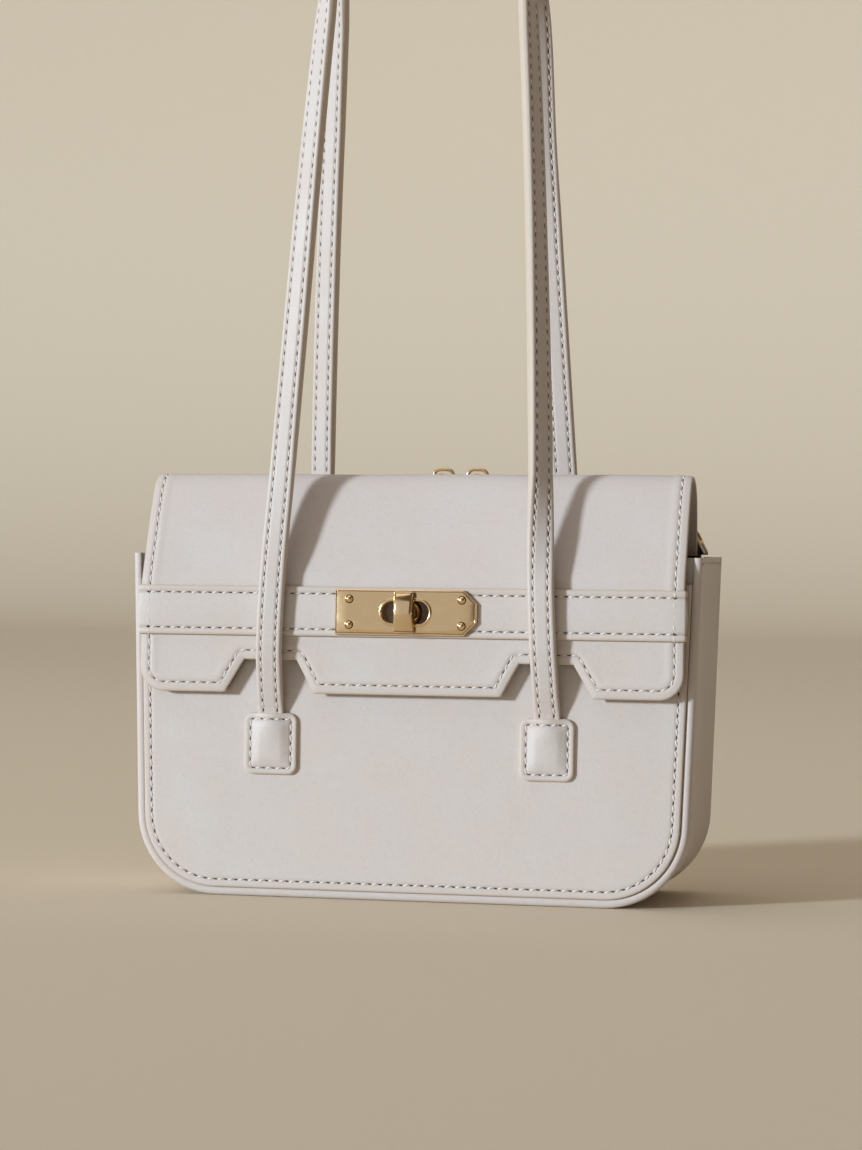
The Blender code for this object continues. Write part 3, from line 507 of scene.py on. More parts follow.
@dataclass(frozen=True)
class Mottled(Finish):
    """Two tones that follow a noise, with the same noise for height where it has a depth."""

    low_tone: str
    high_tone: str
    size_mm: float
    detail: float = 2.0
    noise_roughness: float = 0.5
    bump: float = 0.0
    depth_mm: float = 0.0
    roughness: float = 0.9
    sheen: float = 0.0

    def sockets(self, tree: NodeTree) -> dict:
        """One noise in tone and height."""
        place = add_node(tree, "TexCoord").outputs["Object"]
        noise = add_node(tree, "TexNoise", inputs={
            "Vector": place, "Scale": 1 / (self.size_mm * MM), "Detail": self.detail,
            "Roughness": self.noise_roughness}).outputs["Fac"]
        tone = add_node(tree, "Mix", MIX, {
            0: noise, 6: colour(self.low_tone), 7: colour(self.high_tone)})
        sockets = {"Base Color": tone.outputs[2], "Roughness": self.roughness,
                   "Sheen Weight": self.sheen}
        if self.bump:
            height = add_node(tree, "Bump", inputs={
                "Height": noise, "Strength": self.bump, "Distance": self.depth_mm * MM})
            sockets["Normal"] = height.outputs["Normal"]
        return sockets


@dataclass(frozen=True)
class SewingThread(Mottled):
    """Twisted polyester thread, a little lighter than the leather.

    To the eye it has a dull sheen and a noise as fine as its twist.
    """

    name: str = "polyester_thread"
    low_tone: str = "#F1ECE5"
    high_tone: str = "#D5CABF"
    size_mm: float = 0.45
    bump: float = 0.5
    depth_mm: float = 0.06
    roughness: float = 0.6
    sheen: float = 0.2


@dataclass(frozen=True)
class NeedleHole(Mottled):
    """Shadow in a needle hole, drawn as a dark speck because the hole is too small to model."""

    name: str = "needle_hole_shadow"
    low_tone: str = "#4C433E"
    high_tone: str = "#3B332F"
    size_mm: float = 3.0


@dataclass(frozen=True)
class FibreBoard(Mottled):
    """Pressed fibre board: matt, brown, with short pale fibres."""

    name: str = "pressed_fibre_board"
    low_tone: str = "#8C7660"
    high_tone: str = "#B9A388"
    size_mm: float = 1.5
    detail: float = 6.0
    noise_roughness: float = 0.7
    bump: float = 0.4
    depth_mm: float = 0.1


@dataclass(frozen=True)
class PlatedZinc(Finish):
    """Die-cast zinc alloy, polished and plated in light gold.

    It mirrors the room in a slightly softened way, with hair-fine wiping marks,
    and a brown shade is painted into its recesses and round the feet of its parts.
    """

    name: str = "light_gold_plated_zinc"
    tint: str = "#F7DEB6"
    shaded: str = "#E9CB9C"
    # brown of the shade painted into recesses
    recess_shade: str = "#6A4326"
    roughness: float = 0.15
    smear_mm: float = 7.0
    wipe_mm: Vector = (25 / 3, 0.4, 0.4)
    wipe_depth_mm: float = 0.02

    def sockets(self, tree: NodeTree) -> dict:
        """Smeared tone and gloss, painted brown shade in the recesses, and wiping marks."""
        place = add_node(tree, "TexCoord").outputs["Object"]
        smear = add_node(tree, "TexNoise", inputs={
            "Vector": place, "Scale": 1 / (self.smear_mm * MM), "Detail": 4.0, "Roughness": 0.6})
        # painted shade: recesses of the metal pieces are mixed towards the brown
        crease = add_node(tree, "Attribute", {"attribute_name": "crease"})
        tone = colour(self.tint)
        for mask, code in ((smear, self.shaded), (crease, self.recess_shade)):
            tone = add_node(tree, "Mix", MIX, {
                0: mask.outputs["Fac"], 6: tone, 7: colour(code)}).outputs[2]
        gloss = add_node(tree, "MapRange", inputs={
            "Value": smear.outputs["Fac"], "From Min": 0.35, "From Max": 0.7,
            "To Min": self.roughness - 0.04, "To Max": self.roughness + 0.09})
        # wiping marks run along the plate; the real ones are too fine, so these are wider
        turned = add_node(tree, "Mapping", inputs={
            "Vector": place, "Scale": tuple(1 / (v * MM) for v in self.wipe_mm)})
        hair = add_node(tree, "TexNoise", inputs={
            "Vector": turned.outputs["Vector"], "Scale": 1.0, "Detail": 2.0})
        bump = add_node(tree, "Bump", inputs={
            "Height": hair.outputs["Fac"], "Strength": 0.12, "Distance": self.wipe_depth_mm * MM})
        return {"Base Color": tone, "Roughness": gloss.outputs[0],
                "Normal": bump.outputs["Normal"], "Metallic": 1.0}


@dataclass(frozen=True)
class WovenCloth(Finish):
    """Plain-woven polyester cloth: crossing threads that show as a fine square ripple."""

    light: str
    dark: str
    thread_mm: float
    fuzz_mm: float = 9.0
    depth_mm: float = 0.15
    roughness: float = 0.85

    def sockets(self, tree: NodeTree) -> dict:
        """The product of two crossing waves, in tone and height, over a slow fuzz."""
        place = add_node(tree, "TexCoord").outputs["Object"]
        across, along = (add_node(tree, "TexWave", {
            "bands_direction": axis, "wave_profile": "SIN"}, {
            "Vector": place, "Scale": 1 / (self.thread_mm * MM) / 3.14, "Distortion": 0.4,
            "Detail": 1.0, "Detail Scale": 2.0}).outputs["Fac"] for axis in ("X", "Z"))
        weave = add_node(tree, "Math", {"operation": "MULTIPLY"}, {0: across, 1: along})
        fuzz = add_node(tree, "TexNoise", inputs={
            "Vector": place, "Scale": 1 / (self.fuzz_mm * MM), "Detail": 4.0})
        share = add_node(tree, "Math", {"operation": "MULTIPLY_ADD", "use_clamp": True},
                         {0: weave.outputs[0], 1: 0.6, 2: fuzz.outputs["Fac"]})
        tone = add_node(tree, "Mix", MIX, {
            0: share.outputs[0], 6: colour(self.dark), 7: colour(self.light)})
        bump = add_node(tree, "Bump", inputs={
            "Height": weave.outputs[0], "Strength": 0.6, "Distance": self.depth_mm * MM})
        return {"Base Color": tone.outputs[2], "Normal": bump.outputs["Normal"],
                "Roughness": self.roughness, "Sheen Weight": 0.15}


@dataclass(frozen=True)
class PaintedBackdrop(Finish):
    """Matt painted board, pale cream, which stands in for a plain studio sweep."""

    name: str = "matt_cream_paint"
    tint: str = "#DFD1BB"

    def sockets(self, tree: NodeTree) -> dict:
        """One even tone."""
        return {"Base Color": colour(self.tint), "Roughness": 0.9}


class Look(Enum):
    """The finishes of the bag, each with the record's material slot."""

    LEATHER = (CoatedLeather(), "leather")
    THREAD = (SewingThread(), "leather")
    HOLE = (NeedleHole(), "leather")
    GOLD = (PlatedZinc(), "gold_metal")
    LINING = (WovenCloth("woven_lining_cloth", "#5E5048", "#382F2B", 0.5), "lining")
    TAPE = (WovenCloth("woven_zip_tape", "#D3C5B6", "#A99A8B", 0.7), "zip_tape")
    BOARD = (FibreBoard(), "base_board")


@dataclass
class Finishes:
    """The materials, made once and shared by the pieces."""

    made: dict[Look, bpy.types.Material] = field(
        default_factory=lambda: {look: look.value[0].material() for look in Look})

    def dress(self, obj: Object, look: Look) -> Object:
        """Give a piece one finish, and report it."""
        obj.data.materials.clear()
        obj.data.materials.append(self.made[look])
        LOG.info("%s: %d faces of %s", obj.name, len(obj.data.polygons), look.value[0].name)
        return obj

    def settle(self, obj: Object, look: Look, body: str, *nodes: str) -> Object:
        """Dress a piece and let it ride on a body and stand for the given nodes."""
        self.dress(obj, look)
        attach(obj, body)
        if nodes:
            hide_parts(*nodes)
        return obj


def declare_cloth(obj: Object) -> None:
    """Read the face areas of a glued layer of cloth, whose cut has half the area of its closed
    surface.
    """
    areas = np.empty(len(obj.data.polygons))
    obj.data.polygons.foreach_get("area", areas)


# --- stitches ---


@dataclass
class StitchRow:
    """Lockstitch seams: slanted threads with a needle hole between each two."""

    pitch: float = 4.1 * MM
    thread_radius: float = 0.36 * MM
    thread_share: float = 0.62
    slant_deg: float = 17.0
    sink: float = 0.42 * MM
    hole_length: float = 0.85 * MM
    hole_width: float = 0.36 * MM
    hole_slant_deg: float = -10.0
    reach: float = 0.3 * MM
    threads: Shape = field(default_factory=Shape)
    holes: Shape = field(default_factory=Shape)

    def thread_template(self) -> tuple[Array, Array]:
        """A short bowed rod along x.

        Its radius follows a half ellipse at both ends, and its middle line dips
        by the sink with the fourth power of the distance from the middle.
        """
        half = self.pitch * self.thread_share / 2
        t = np.array([-1, -0.86, -0.5, 0, 0.5, 0.86, 1.0])
        swell = np.array([0.25, 0.75, 1, 1, 1, 0.75, 0.25])
        c, s = around(6)
        ring = join(0.0, c, s) * self.thread_radius
        points = swell[:, None, None] * ring[None]
        points[:, :, 0] += t[:, None] * half
        points[:, :, 2] += (0.24 * self.thread_radius - self.sink * t**4)[:, None]
        index = np.arange(42).reshape(7, 6)
        faces = cells(np.hstack([index, index[:, :1]]))[:, ::-1]
        ends = np.array([[0, 1, 2, 3], [0, 3, 4, 5], [39, 38, 37, 36], [41, 40, 39, 36]])
        return points.reshape(-1, 3), np.vstack([faces, ends])

    def hole_template(self) -> tuple[Array, Array]:
        """A flat six-sided lens, longer along x than it is wide."""
        c, s = around(6)
        rim = join(self.hole_length * c, self.hole_width * s, 0.07 * MM)
        tips = np.array([[0, 0, 0.11 * MM], [0, 0, -0.3 * MM]])
        k = np.arange(6)
        after = (k + 1) % 6
        return np.vstack([rim, tips]), np.vstack([join(k, after, 6), join(after, k, 7)])

    def sew(self, line: Array, normals: Array, lift: Amount = 0.0) -> None:
        """Sew along a line on a surface.

        Args:
            line: points of the seam (k, 3).
            normals: unit vectors out of the surface, at those points or one for all.
            lift: height of the seam above the line, at those points or one for all.
        """
        normals = np.broadcast_to(normals, line.shape)
        lift = np.broadcast_to(lift, len(line))
        run = lengths_along(line)
        count = max(1, round(run[-1] / self.pitch))
        step = run[-1] / count
        for first, template, shape, slant in (
            (0.5, self.thread_template(), self.threads, math.radians(self.slant_deg)),
            (0.0, self.hole_template(), self.holes, math.radians(self.hole_slant_deg)),
        ):
            at = np.arange(first, count + 0.25, 1.0) * step
            normal = unit(pick_along(normals, run, at))
            ahead = pick_along(line, run, np.minimum(at + self.reach, run[-1]))
            behind = pick_along(line, run, np.maximum(at - self.reach, 0))
            along = square_to(ahead - behind, normal)
            turned = along * math.cos(slant) + np.cross(normal, along) * math.sin(slant)
            axes = np.stack([turned, np.cross(normal, turned), normal], 1)
            centre = pick_along(line, run, at) + normal * np.interp(at, run, lift)[:, None]
            shape.add_copies(*template, centre, axes)

    def build(self, name: str) -> list[tuple[Object, Look]]:
        """Make the two meshes of the seams: the threads and the needle holes."""
        return [(self.threads.build(name + "_threads", tidy=False), Look.THREAD),
                (self.holes.build(name + "_needle_holes", tidy=False), Look.HOLE)]


# --- body: panels, gusset and linings ---


@dataclass(frozen=True)
class BodyOutline:
    """U-shaped outline of the body seen from the front, and copies of it further in."""

    half_width_top: float = 111.5 * MM
    half_width_base: float = 107.0 * MM
    height: float = 132.0 * MM
    radius: float = 32.0 * MM
    base_count: int = 26
    arc_count: int = 16
    leg_drops: tuple[float, ...] = (0, 0.35, 0.8, 1.3, 1.8, 2.2, 2.6, 3.0, 3.6, 4.5, 6, 8.5, 12)
    leg_rest: int = 20

    @property
    def side(self) -> Array:
        """Unit vector out of the right side."""
        return unit(np.array([self.height, self.half_width_base - self.half_width_top]))

    @property
    def centre_x(self) -> float:
        """Where the right corner's centre lies across the width."""
        slope = (self.half_width_top - self.half_width_base) / self.height
        return self.half_width_base + slope * self.radius - self.radius / self.side[0]

    def rows(self, inset: Array, top: float) -> Array:
        """Outline moved inwards by each inset and cut at a height.

        The base is a straight line, the corners are circles about a fixed centre
        whose radius shrinks by the inset, and each side is the straight line that
        leaves the circle and ends at the height top.

        Args:
            inset: distances inwards, none above the corner radius.
            top: height of both ends.

        Returns:
            Places (insets, points, 2) from the left end down and round to the right end.
        """
        d = np.asarray(inset, float)[:, None]
        n = self.side
        t = np.arange(self.base_count) / self.base_count
        base = join(self.centre_x * t, d)
        a = np.linspace(-math.pi / 2, math.atan2(n[1], n[0]), self.arc_count)
        ring = self.radius - d
        arc = join(self.centre_x + ring * np.cos(a), self.radius + ring * np.sin(a))
        foot_x, foot_z = arc[:, -1:, 0], arc[:, -1:, 1]
        drop = np.array(self.leg_drops)[::-1] * MM
        rest = np.linspace(drop[0], top - self.radius, self.leg_rest, endpoint=False)[::-1]
        levels = top - np.concatenate([rest, drop[1:]])
        share = np.clip((levels - foot_z) / (top - foot_z), 0.004, 1.0)
        x = foot_x - (top - foot_z) * n[1] / n[0] * share
        z = foot_z + (top - foot_z) * share
        right = np.concatenate([base, arc, join(x, z)], 1)
        return np.concatenate([right[:, :0:-1] * np.array([-1, 1]), right], 1)


@dataclass
class PanelShape:
    """A flat panel with the body's outline: a band of rows round its edge and a grid inside."""

    inset: float
    top: float
    thickness: float
    near: float = 0.0
    edge_radius: float = 0.0
    channel: float = 0.0
    crown: float = 0.0
    seed: float = 0.0
    channel_depth: float = 0.28 * MM
    channel_width: float = 0.55 * MM
    margin_fall: float = 0.15 * MM
    paint_width: float = 0.9 * MM
    wave: float = 60.0 * MM
    row_steps: tuple[float, ...] = (
        0, 0.12, 0.35, 0.7, 1.2, 1.8, 2.3, 2.7, 3.1, 3.5, 4.0, 4.8, 6.5, 9, 13, 18, 23)
    outline: BodyOutline = BodyOutline()

    def layers(self, side: Side, x: Array, z: Array, d: Array) -> tuple[Array, Array]:
        """Outer and inner points at places whose distance to the edge is d.

        The outer face has a rounded edge, a stitched channel, padding and slow waves.
        """
        rise = self.near - edge_drop(d, self.edge_radius)
        if self.channel:
            rise = rise - self.channel_depth * groove(d, self.channel, self.channel_width)
            rise = rise - self.margin_fall * (1 - ease(d / self.channel))
        rise = rise + self.crown * ease((d - 4 * MM) / (26 * MM))
        rise = rise + self.crown * 0.6 * ripple(x, z, self.wave, self.seed) * ease(d / (20 * MM))
        return side.points(x, rise, z), side.points(x, self.near - self.thickness, z)

    def build(self, name: str, side: Side) -> Object:
        """Make the panel on one face of the body."""
        reach = self.outline.radius - self.inset
        steps = np.array(self.row_steps) * MM
        d = np.append(steps[steps < reach - 3 * MM], reach)[:, None]
        plan = self.outline.rows(self.inset + d[:, 0], self.top)
        shape = Shape()
        # the stitched channel gets painted shade
        shape.add_slab(
            *self.layers(side, plan[..., 0], plan[..., 1], np.broadcast_to(d, plan.shape[:2])),
            open_ends=(False, True),
            edge=np.clip(1 - d / self.paint_width, 0, 1) if self.edge_radius else 0.0,
            crease=groove(d, self.channel) if self.channel else 0.0)
        last = plan[-1]
        leg = self.outline.leg_rest + len(self.outline.leg_drops) - 1
        skip = leg + self.outline.arc_count - 1
        width, level = last[-leg - 1:, :1], last[-leg - 1:, 1:]
        base = last[skip:-skip, 0]
        x = width * base / base[-1]
        z = np.broadcast_to(level, x.shape)
        d = reach + np.minimum(width - np.abs(x), z - self.outline.radius)
        shape.add_slab(*self.layers(side, x, z, d), open_ends=(True, False), open_sides=True)
        return shape.build(name)

    def seam(self, side: Side) -> tuple[Array, Array]:
        """Line and normal of the stitched channel."""
        plan = self.outline.rows([self.inset + self.channel], self.top)[0]
        return side.points(plan[:, 0], self.near - self.channel_depth, plan[:, 1]), side.normal()


@dataclass
class Body:
    """Panels, gusset strip and linings of the bag's body.

    The bead is a table of distances inwards and heights out of the seam in mm.
    """

    finishes: Finishes
    bead: tuple = (
        (7.0, 0), (5.5, 0), (4.0, 0), (3.3, 0), (3.2, 0.1), (3.16, 0.9), (3.02, 1.2), (2.6, 1.38),
        (1.9, 1.5), (1.1, 1.36), (0.45, 0.98), (0.1, 0.42), (0, -0.3), (0, -1.2))
    panel_inset: float = 3.3 * MM
    panel_wall: float = 2.2 * MM
    gusset_wall: float = 1.8 * MM
    flange_wall: float = 1.4 * MM
    setback: float = 2.5 * MM
    sag: float = 0.7 * MM
    hem_depth: float = 2.4 * MM
    hem_channel: float = 0.22 * MM
    hem_step: float = 0.18 * MM
    hem_end: float = 4.6 * MM
    lining_inset: float = 7.3 * MM
    lining_wall: float = 0.8 * MM
    lining_top: float = 130.0 * MM
    outline: BodyOutline = BodyOutline()

    def front_plane(self, z: Array) -> Array:
        """Depth of the leaning front face at a height: the foot plus the lean times the height."""
        return FRONT_BASE_Y + LEAN_RISE * z

    def build_panels(self, seams: StitchRow) -> None:
        """Front and back panels with their edge seams."""
        for name, side, top, seed in (("front_panel", Side.FRONT, 122.0, 1.0),
                                      ("back_panel", Side.REAR, 131.0, 4.0)):
            panel = PanelShape(self.panel_inset, top * MM, self.panel_wall, edge_radius=0.7 * MM,
                               channel=3.0 * MM, crown=0.22 * MM, seed=seed)
            self.finishes.settle(panel.build(name + "_skin", side), Look.LEATHER, "bag_body", name)
            seams.sew(*panel.seam(side))

    def build_gusset(self, seams: StitchRow) -> None:
        """Gusset strip: a section of bead, hollow wall and bead carried round the outline.

        The wall between the beads sags by half a sine wave, and near its mouth the
        strip is hemmed.
        """
        bead_r, bead_h = np.array(self.bead).T * MM
        wall = np.linspace(0.04, 0.96, 15)
        k = len(bead_r)
        sag = self.sag * np.sin(math.pi * wall)
        inner_r = np.where(bead_r > 2.7 * MM, bead_r, self.gusset_wall)
        plan = self.outline.rows(np.concatenate([bead_r, sag, bead_r[::-1]]), self.outline.height)
        deep = self.outline.rows(np.concatenate([inner_r, self.gusset_wall + sag, inner_r[::-1]]),
                                 self.outline.height)
        low = self.outline.height - plan[..., 1]
        step = ease((low - self.hem_end) / (0.8 * MM)) * ease((20 * MM - low) / (8 * MM))
        hem = self.hem_channel * bell(low - self.hem_depth, 0.45 * MM) + self.hem_step * step
        hem[:k - 2] = hem[2 - k:] = 0
        across = np.concatenate([np.zeros(k), wall, np.zeros(k)])[:, None]
        sections = []
        for grid, rise in ((plan, bead_h), (deep, np.full(k, -self.flange_wall))):
            front = self.front_plane(grid[..., 1]) + self.setback
            back = np.full_like(front, BACK_Y - self.setback)
            first, last = front + 1.2 * MM, back - 1.2 * MM
            y = first + (last - first) * across
            y[:k] = front[:k] - rise[:, None]
            y[-k:] = back[-k:] + rise[::-1, None]
            sections.append(join(grid[..., 0], y, grid[..., 1]))
        sections[0][..., 0] -= np.clip(plan[..., 0] / (100 * MM), -1, 1) * hem
        # painted shade in the groove between the panel's edge and the bead, and where the bead
        # turns under
        seam_shade = np.zeros(k)
        seam_shade[3:6], seam_shade[-2:] = 0.5, 0.3
        shape = Shape()
        shape.add_slab(*sections, crease=np.concatenate([seam_shade, 0 * wall, seam_shade[::-1]])[:, None])
        self.finishes.settle(shape.build("gusset_skin", sharp_deg=75), Look.LEATHER,
                             "bag_body", "gusset")
        level = self.outline.height - self.hem_depth
        y = np.linspace(self.front_plane(level) + self.setback + 1.5 * MM,
                        BACK_Y - self.setback - 1.5 * MM, 30)
        t = np.linspace(0.04, 0.96, 30)
        reach = self.outline.half_width_top - 0.06 * MM - self.sag * np.sin(math.pi * t)
        for hand in (-1.0, 1.0):
            seams.sew(join(hand * reach, y, level), np.array([hand, 0, 0]))

    def build_linings(self) -> None:
        """Linings of both compartments and of the gusset between them."""
        for name, side, top in (("front", Side.FRONT, 120.0), ("back", Side.REAR, 125.0)):
            panel = PanelShape(self.lining_inset, top * MM, self.lining_wall, near=-2.5 * MM)
            obj = panel.build(name + "_lining_cloth", side)
            self.finishes.settle(obj, Look.LINING, "bag_body", name + "_lining")
            declare_cloth(obj)
        gap = self.setback + self.flange_wall + 0.3 * MM
        t = np.linspace(0, 1, 9)
        slack = 0.25 * MM * np.sin(math.pi * t * 3)
        grids = []
        for depth in (3.9 * MM, 3.9 * MM + self.lining_wall):
            plan = self.outline.rows(depth + slack, self.lining_top)
            front = self.front_plane(plan[..., 1]) + gap
            y = front + (BACK_Y - gap - front) * t[:, None]
            grids.append(join(plan[..., 0], y, plan[..., 1]))
        shape = Shape()
        shape.add_slab(*grids)
        obj = self.finishes.settle(shape.build("gusset_lining_cloth"), Look.LINING,
                                   "bag_body", "gusset_lining")
        length = float(lengths_along(grids[0][len(t) // 2])[-1])
        declare_cloth(obj)


# --- zip, divider and rear zip panel ---


@dataclass(frozen=True)
class ZipLine:
    """Height of the zip along the bag: level, then a quarter cosine down to both ends."""

    y: float = 7.0 * MM
    height: float = 158.5 * MM
    end_height: float = 133.6 * MM
    level_half: float = 88.8 * MM
    half_length: float = 108.3 * MM

    def level(self, x: Array) -> Array:
        """Height at each place x."""
        share = np.clip((np.abs(x) - self.level_half) / (self.half_length - self.level_half), 0, 1)
        return self.height - (self.height - self.end_height) * (1 - np.cos(math.pi / 2 * share))

    def frame(self, x: Array) -> tuple[Array, Array]:
        """Unit vectors along the zip and up from it at each place x."""
        slope = (self.level(x + 0.2 * MM) - self.level(x - 0.2 * MM)) / (0.4 * MM)
        along = unit(join(1.0, 0.0, slope))
        return along, join(-along[..., 2], 0.0, along[..., 0])

    def line(self, x: Array, y: Amount, rise: Amount = 0.0) -> Array:
        """Points at a depth y, raised square to the zip."""
        return join(x, y, self.level(x)) + self.frame(x)[1] * np.asarray(rise)[..., None]

    def places(self, start: float, end: float, step: float) -> Array:
        """Even places along x between two ends."""
        return np.linspace(start, end, max(3, round((end - start) / step) + 1))


@dataclass
class TopZip:
    """Tapes, teeth, sliders, pulls and the leather behind the zip."""

    finishes: Finishes
    path: ZipLine = ZipLine()
    tape_half_wall: float = 0.4 * MM
    tape_seam_rise: float = 0.26 * MM
    tooth_pitch: float = 1.75 * MM
    meeting_x: float = 11.5 * MM
    teeth_end: float = 103.8 * MM
    last_tooth: float = 0.5 * MM
    teeth_gap: float = 3.8 * MM
    stop_reach: tuple[float, float] = (0.3 * MM, 2.7 * MM)
    stop_half_width: float = 1.7 * MM
    stop_half_height: float = 1.4 * MM
    nose_gap: float = 1.5 * MM
    slider_length: float = 10.6 * MM
    slider_clear: float = 1.4 * MM
    slider_half_width: float = 3.9 * MM
    slider_taper: float = 0.75 * MM
    plate_wall: float = 1.2 * MM
    low_plate_wall: float = 1.0 * MM
    post_inset: float = 0.85 * MM
    post_half: tuple[float, ...] = (0.5 * MM, 1.3 * MM, 0.4 * MM)
    bridge_half: float = 4.15 * MM
    bridge_foot: float = 1.0 * MM
    bridge_height: float = 4.65 * MM
    bridge_bar: tuple[float, float] = (1.0 * MM, 0.68 * MM)
    pull_rise: float = 2.2 * MM
    pull_length: float = 17.0 * MM
    pull_radius: float = 4.3 * MM
    pull_foot: float = 0.6 * MM
    window_half: tuple[float, float] = (1.7 * MM, 2.55 * MM)
    window_middle: float = 3.45 * MM
    pull_tilt: float = math.radians(8.0)
    hem_half: float = 103.5 * MM
    divider_front: float = 0.4 * MM
    divider_back: float = 2.0 * MM

    def build_tapes(self, seams: StitchRow) -> None:
        """Woven tapes with a slightly thicker cord edge beside the teeth."""
        half = self.path.half_length
        x = self.path.places(-half, half, 2.0 * MM)
        x_seam = self.path.places(-half + 3 * MM, half - 3 * MM, 1.0 * MM)
        t = np.linspace(0, 1, 11)[:, None]
        swell = self.tape_half_wall * (0.62 + 0.38 * bell(t - 0.1, 0.14))
        for name, near, far in (("zip_tape_front", 5.0, 0.4), ("zip_tape_rear", 9.0, 13.0)):
            y = (near + (far - near) * t) * MM
            shape = Shape()
            shape.add_slab(self.path.line(x, y, swell), self.path.line(x, y, -swell))
            self.finishes.settle(shape.build(name + "_cloth"), Look.TAPE, "bag_body", name)
            seam_y = (near + (far - near) * 0.72) * MM
            seams.sew(self.path.line(x_seam, seam_y, self.tape_seam_rise),
                      self.path.frame(x_seam)[1])

    def tooth_template(self) -> tuple[Array, Array]:
        """One metal tooth: a rounded block across the zip, with a ball head at its far end."""
        y = np.array([-1.7, -1.25, -0.5, 0.35, 0.95, 1.3]) * MM
        wide = np.array([0.30, 0.46, 0.46, 0.40, 0.52, 0.30]) * MM
        tall = np.array([0.7, 1.05, 1.05, 0.85, 0.9, 0.55]) * MM
        a = math.pi / 8 + np.arange(8) * math.pi / 4
        ring = join(np.cos(a), 0.0, np.sin(a)) * 1.05
        points = ring[None] * join(wide, y, tall)[:, None]
        points[:, :, 1] = y[:, None]
        index = np.arange(48).reshape(6, 8)
        caps = [[k[0], k[i], k[i + 1], k[i + 2]]
                for k in (index[0], index[-1][::-1]) for i in (1, 3, 5)]
        faces = cells(np.hstack([index, index[:, :1]]))
        return points.reshape(-1, 3), np.vstack([faces, np.array(caps)])

    def build_teeth(self) -> None:
        """Interlocking rows of teeth on each side of the sliders' meeting place."""
        points, faces = self.tooth_template()
        last = self.teeth_end - self.last_tooth
        for hand, start, end in ((Hand.LEFT, -last, self.meeting_x - self.teeth_gap),
                                 (Hand.RIGHT, self.meeting_x + self.teeth_gap, last)):
            x = self.path.places(start, end, self.tooth_pitch / 2)
            shape = Shape()
            for at, turn in ((x[::2], 1), (x[1::2], -1)):
                along, up = self.path.frame(at)
                across = np.broadcast_to(np.array([0.0, 1.0, 0.0]), along.shape)
                shape.add_copies(points * np.array([1, turn, 1]), faces[:, ::turn],
                                 self.path.line(at, self.path.y), np.stack([along, across, up], 1))
            self.finishes.settle(shape.build("zip_teeth_%s_row" % hand.label), Look.GOLD,
                                 "bag_body", "zip_teeth_" + hand.label)

    def build_stops(self) -> None:
        """End stops: crimps whose ellipse narrows to both ends.

        The narrowing is the square root of one minus the fourth power.
        """
        squeeze = np.sqrt(1 - np.linspace(-0.97, 0.97, 9) ** 4)[:, None]
        c, s = around(16)
        for hand in Hand:
            x = self.teeth_end + np.linspace(*self.stop_reach, 9)
            x = np.sort(hand.value * x)[:, None]
            shape = Shape()
            shape.add_tube(self.path.line(x, self.path.y + self.stop_half_width * c * squeeze,
                                          self.stop_half_height * s * squeeze))
            self.finishes.settle(shape.build("zip_end_stop_%s_crimp" % hand.label), Look.GOLD,
                                 "bag_body", "zip_end_stop_" + hand.label)

    def add_post(self, shape: Shape, low: Array, high: Array) -> None:
        """Rounded block between two corners: a superellipsoid with square roots for powers."""
        u = np.linspace(-math.pi / 2, math.pi / 2, 13)[:, None]
        c, s = around(24)
        level = power(np.cos(u), 0.5)
        ball = join(level * power(c, 0.5), level * power(s, 0.5), power(np.sin(u), 0.5))
        shape.add_surface((low + high) / 2 + ball * (high - low) / 2, round_v=True)

    def build_slider(self, hand: Hand) -> None:
        """Slider with two shaped plates, a nose post and the bridge that holds the pull.

        Each plate's half width eases from nose to tail, and the ninth power of the
        distance from its middle rounds its ends. The bridge runs along the zip: a
        flat bar carried over a superellipse.
        """
        sign, y = hand.value, self.path.y
        nose = self.meeting_x + sign * self.nose_gap
        centre = nose + sign * self.slider_length / 2
        top, bottom = self.path.height + self.slider_clear, self.path.height - self.slider_clear
        shape = Shape()
        t = np.linspace(-1, 1, 15)[:, None]
        half = self.slider_half_width - self.slider_taper * ease((1 - t * sign) / 2)
        half = half * np.sqrt(np.clip(1 - np.abs(t) ** 9, 0.02, 1))
        c, s = around(20)
        for middle, wall in ((top + self.plate_wall / 2, self.plate_wall),
                             (bottom - self.low_plate_wall / 2, self.low_plate_wall)):
            lift = power(s, 0.6) * np.sqrt(np.clip(1 - np.abs(t) ** 8, 0.1, 1))
            shape.add_tube(join(centre + t * self.slider_length / 2, y + half * power(c, 0.45),
                                middle + wall / 2 * lift))
        post, reach = nose + sign * self.post_inset, np.array(self.post_half)
        self.add_post(shape, np.array([post, y, bottom]) - reach,
                      np.array([post, y, top]) + reach)
        a = np.linspace(0, math.pi, 33)
        line = join(centre - self.bridge_half * power(np.cos(a), 0.62), y,
                    top + self.bridge_foot + self.bridge_height * np.sin(a) ** 0.62)
        across = np.array([0, 1.0, 0])
        out = np.cross(across, unit(np.gradient(line, axis=0)))
        c, s = (power(v, 0.7)[None, :, None] for v in around(16))
        bar_x, bar_z = self.bridge_bar
        shape.add_tube(line[:, None] + c * across * bar_x + s * out[:, None] * bar_z)
        name = "zip_slider_" + hand.label
        self.finishes.settle(shape.build(name + "_cast"), Look.GOLD, name, name)
        self.build_pull(hand, centre, top + self.plate_wall + self.pull_rise)

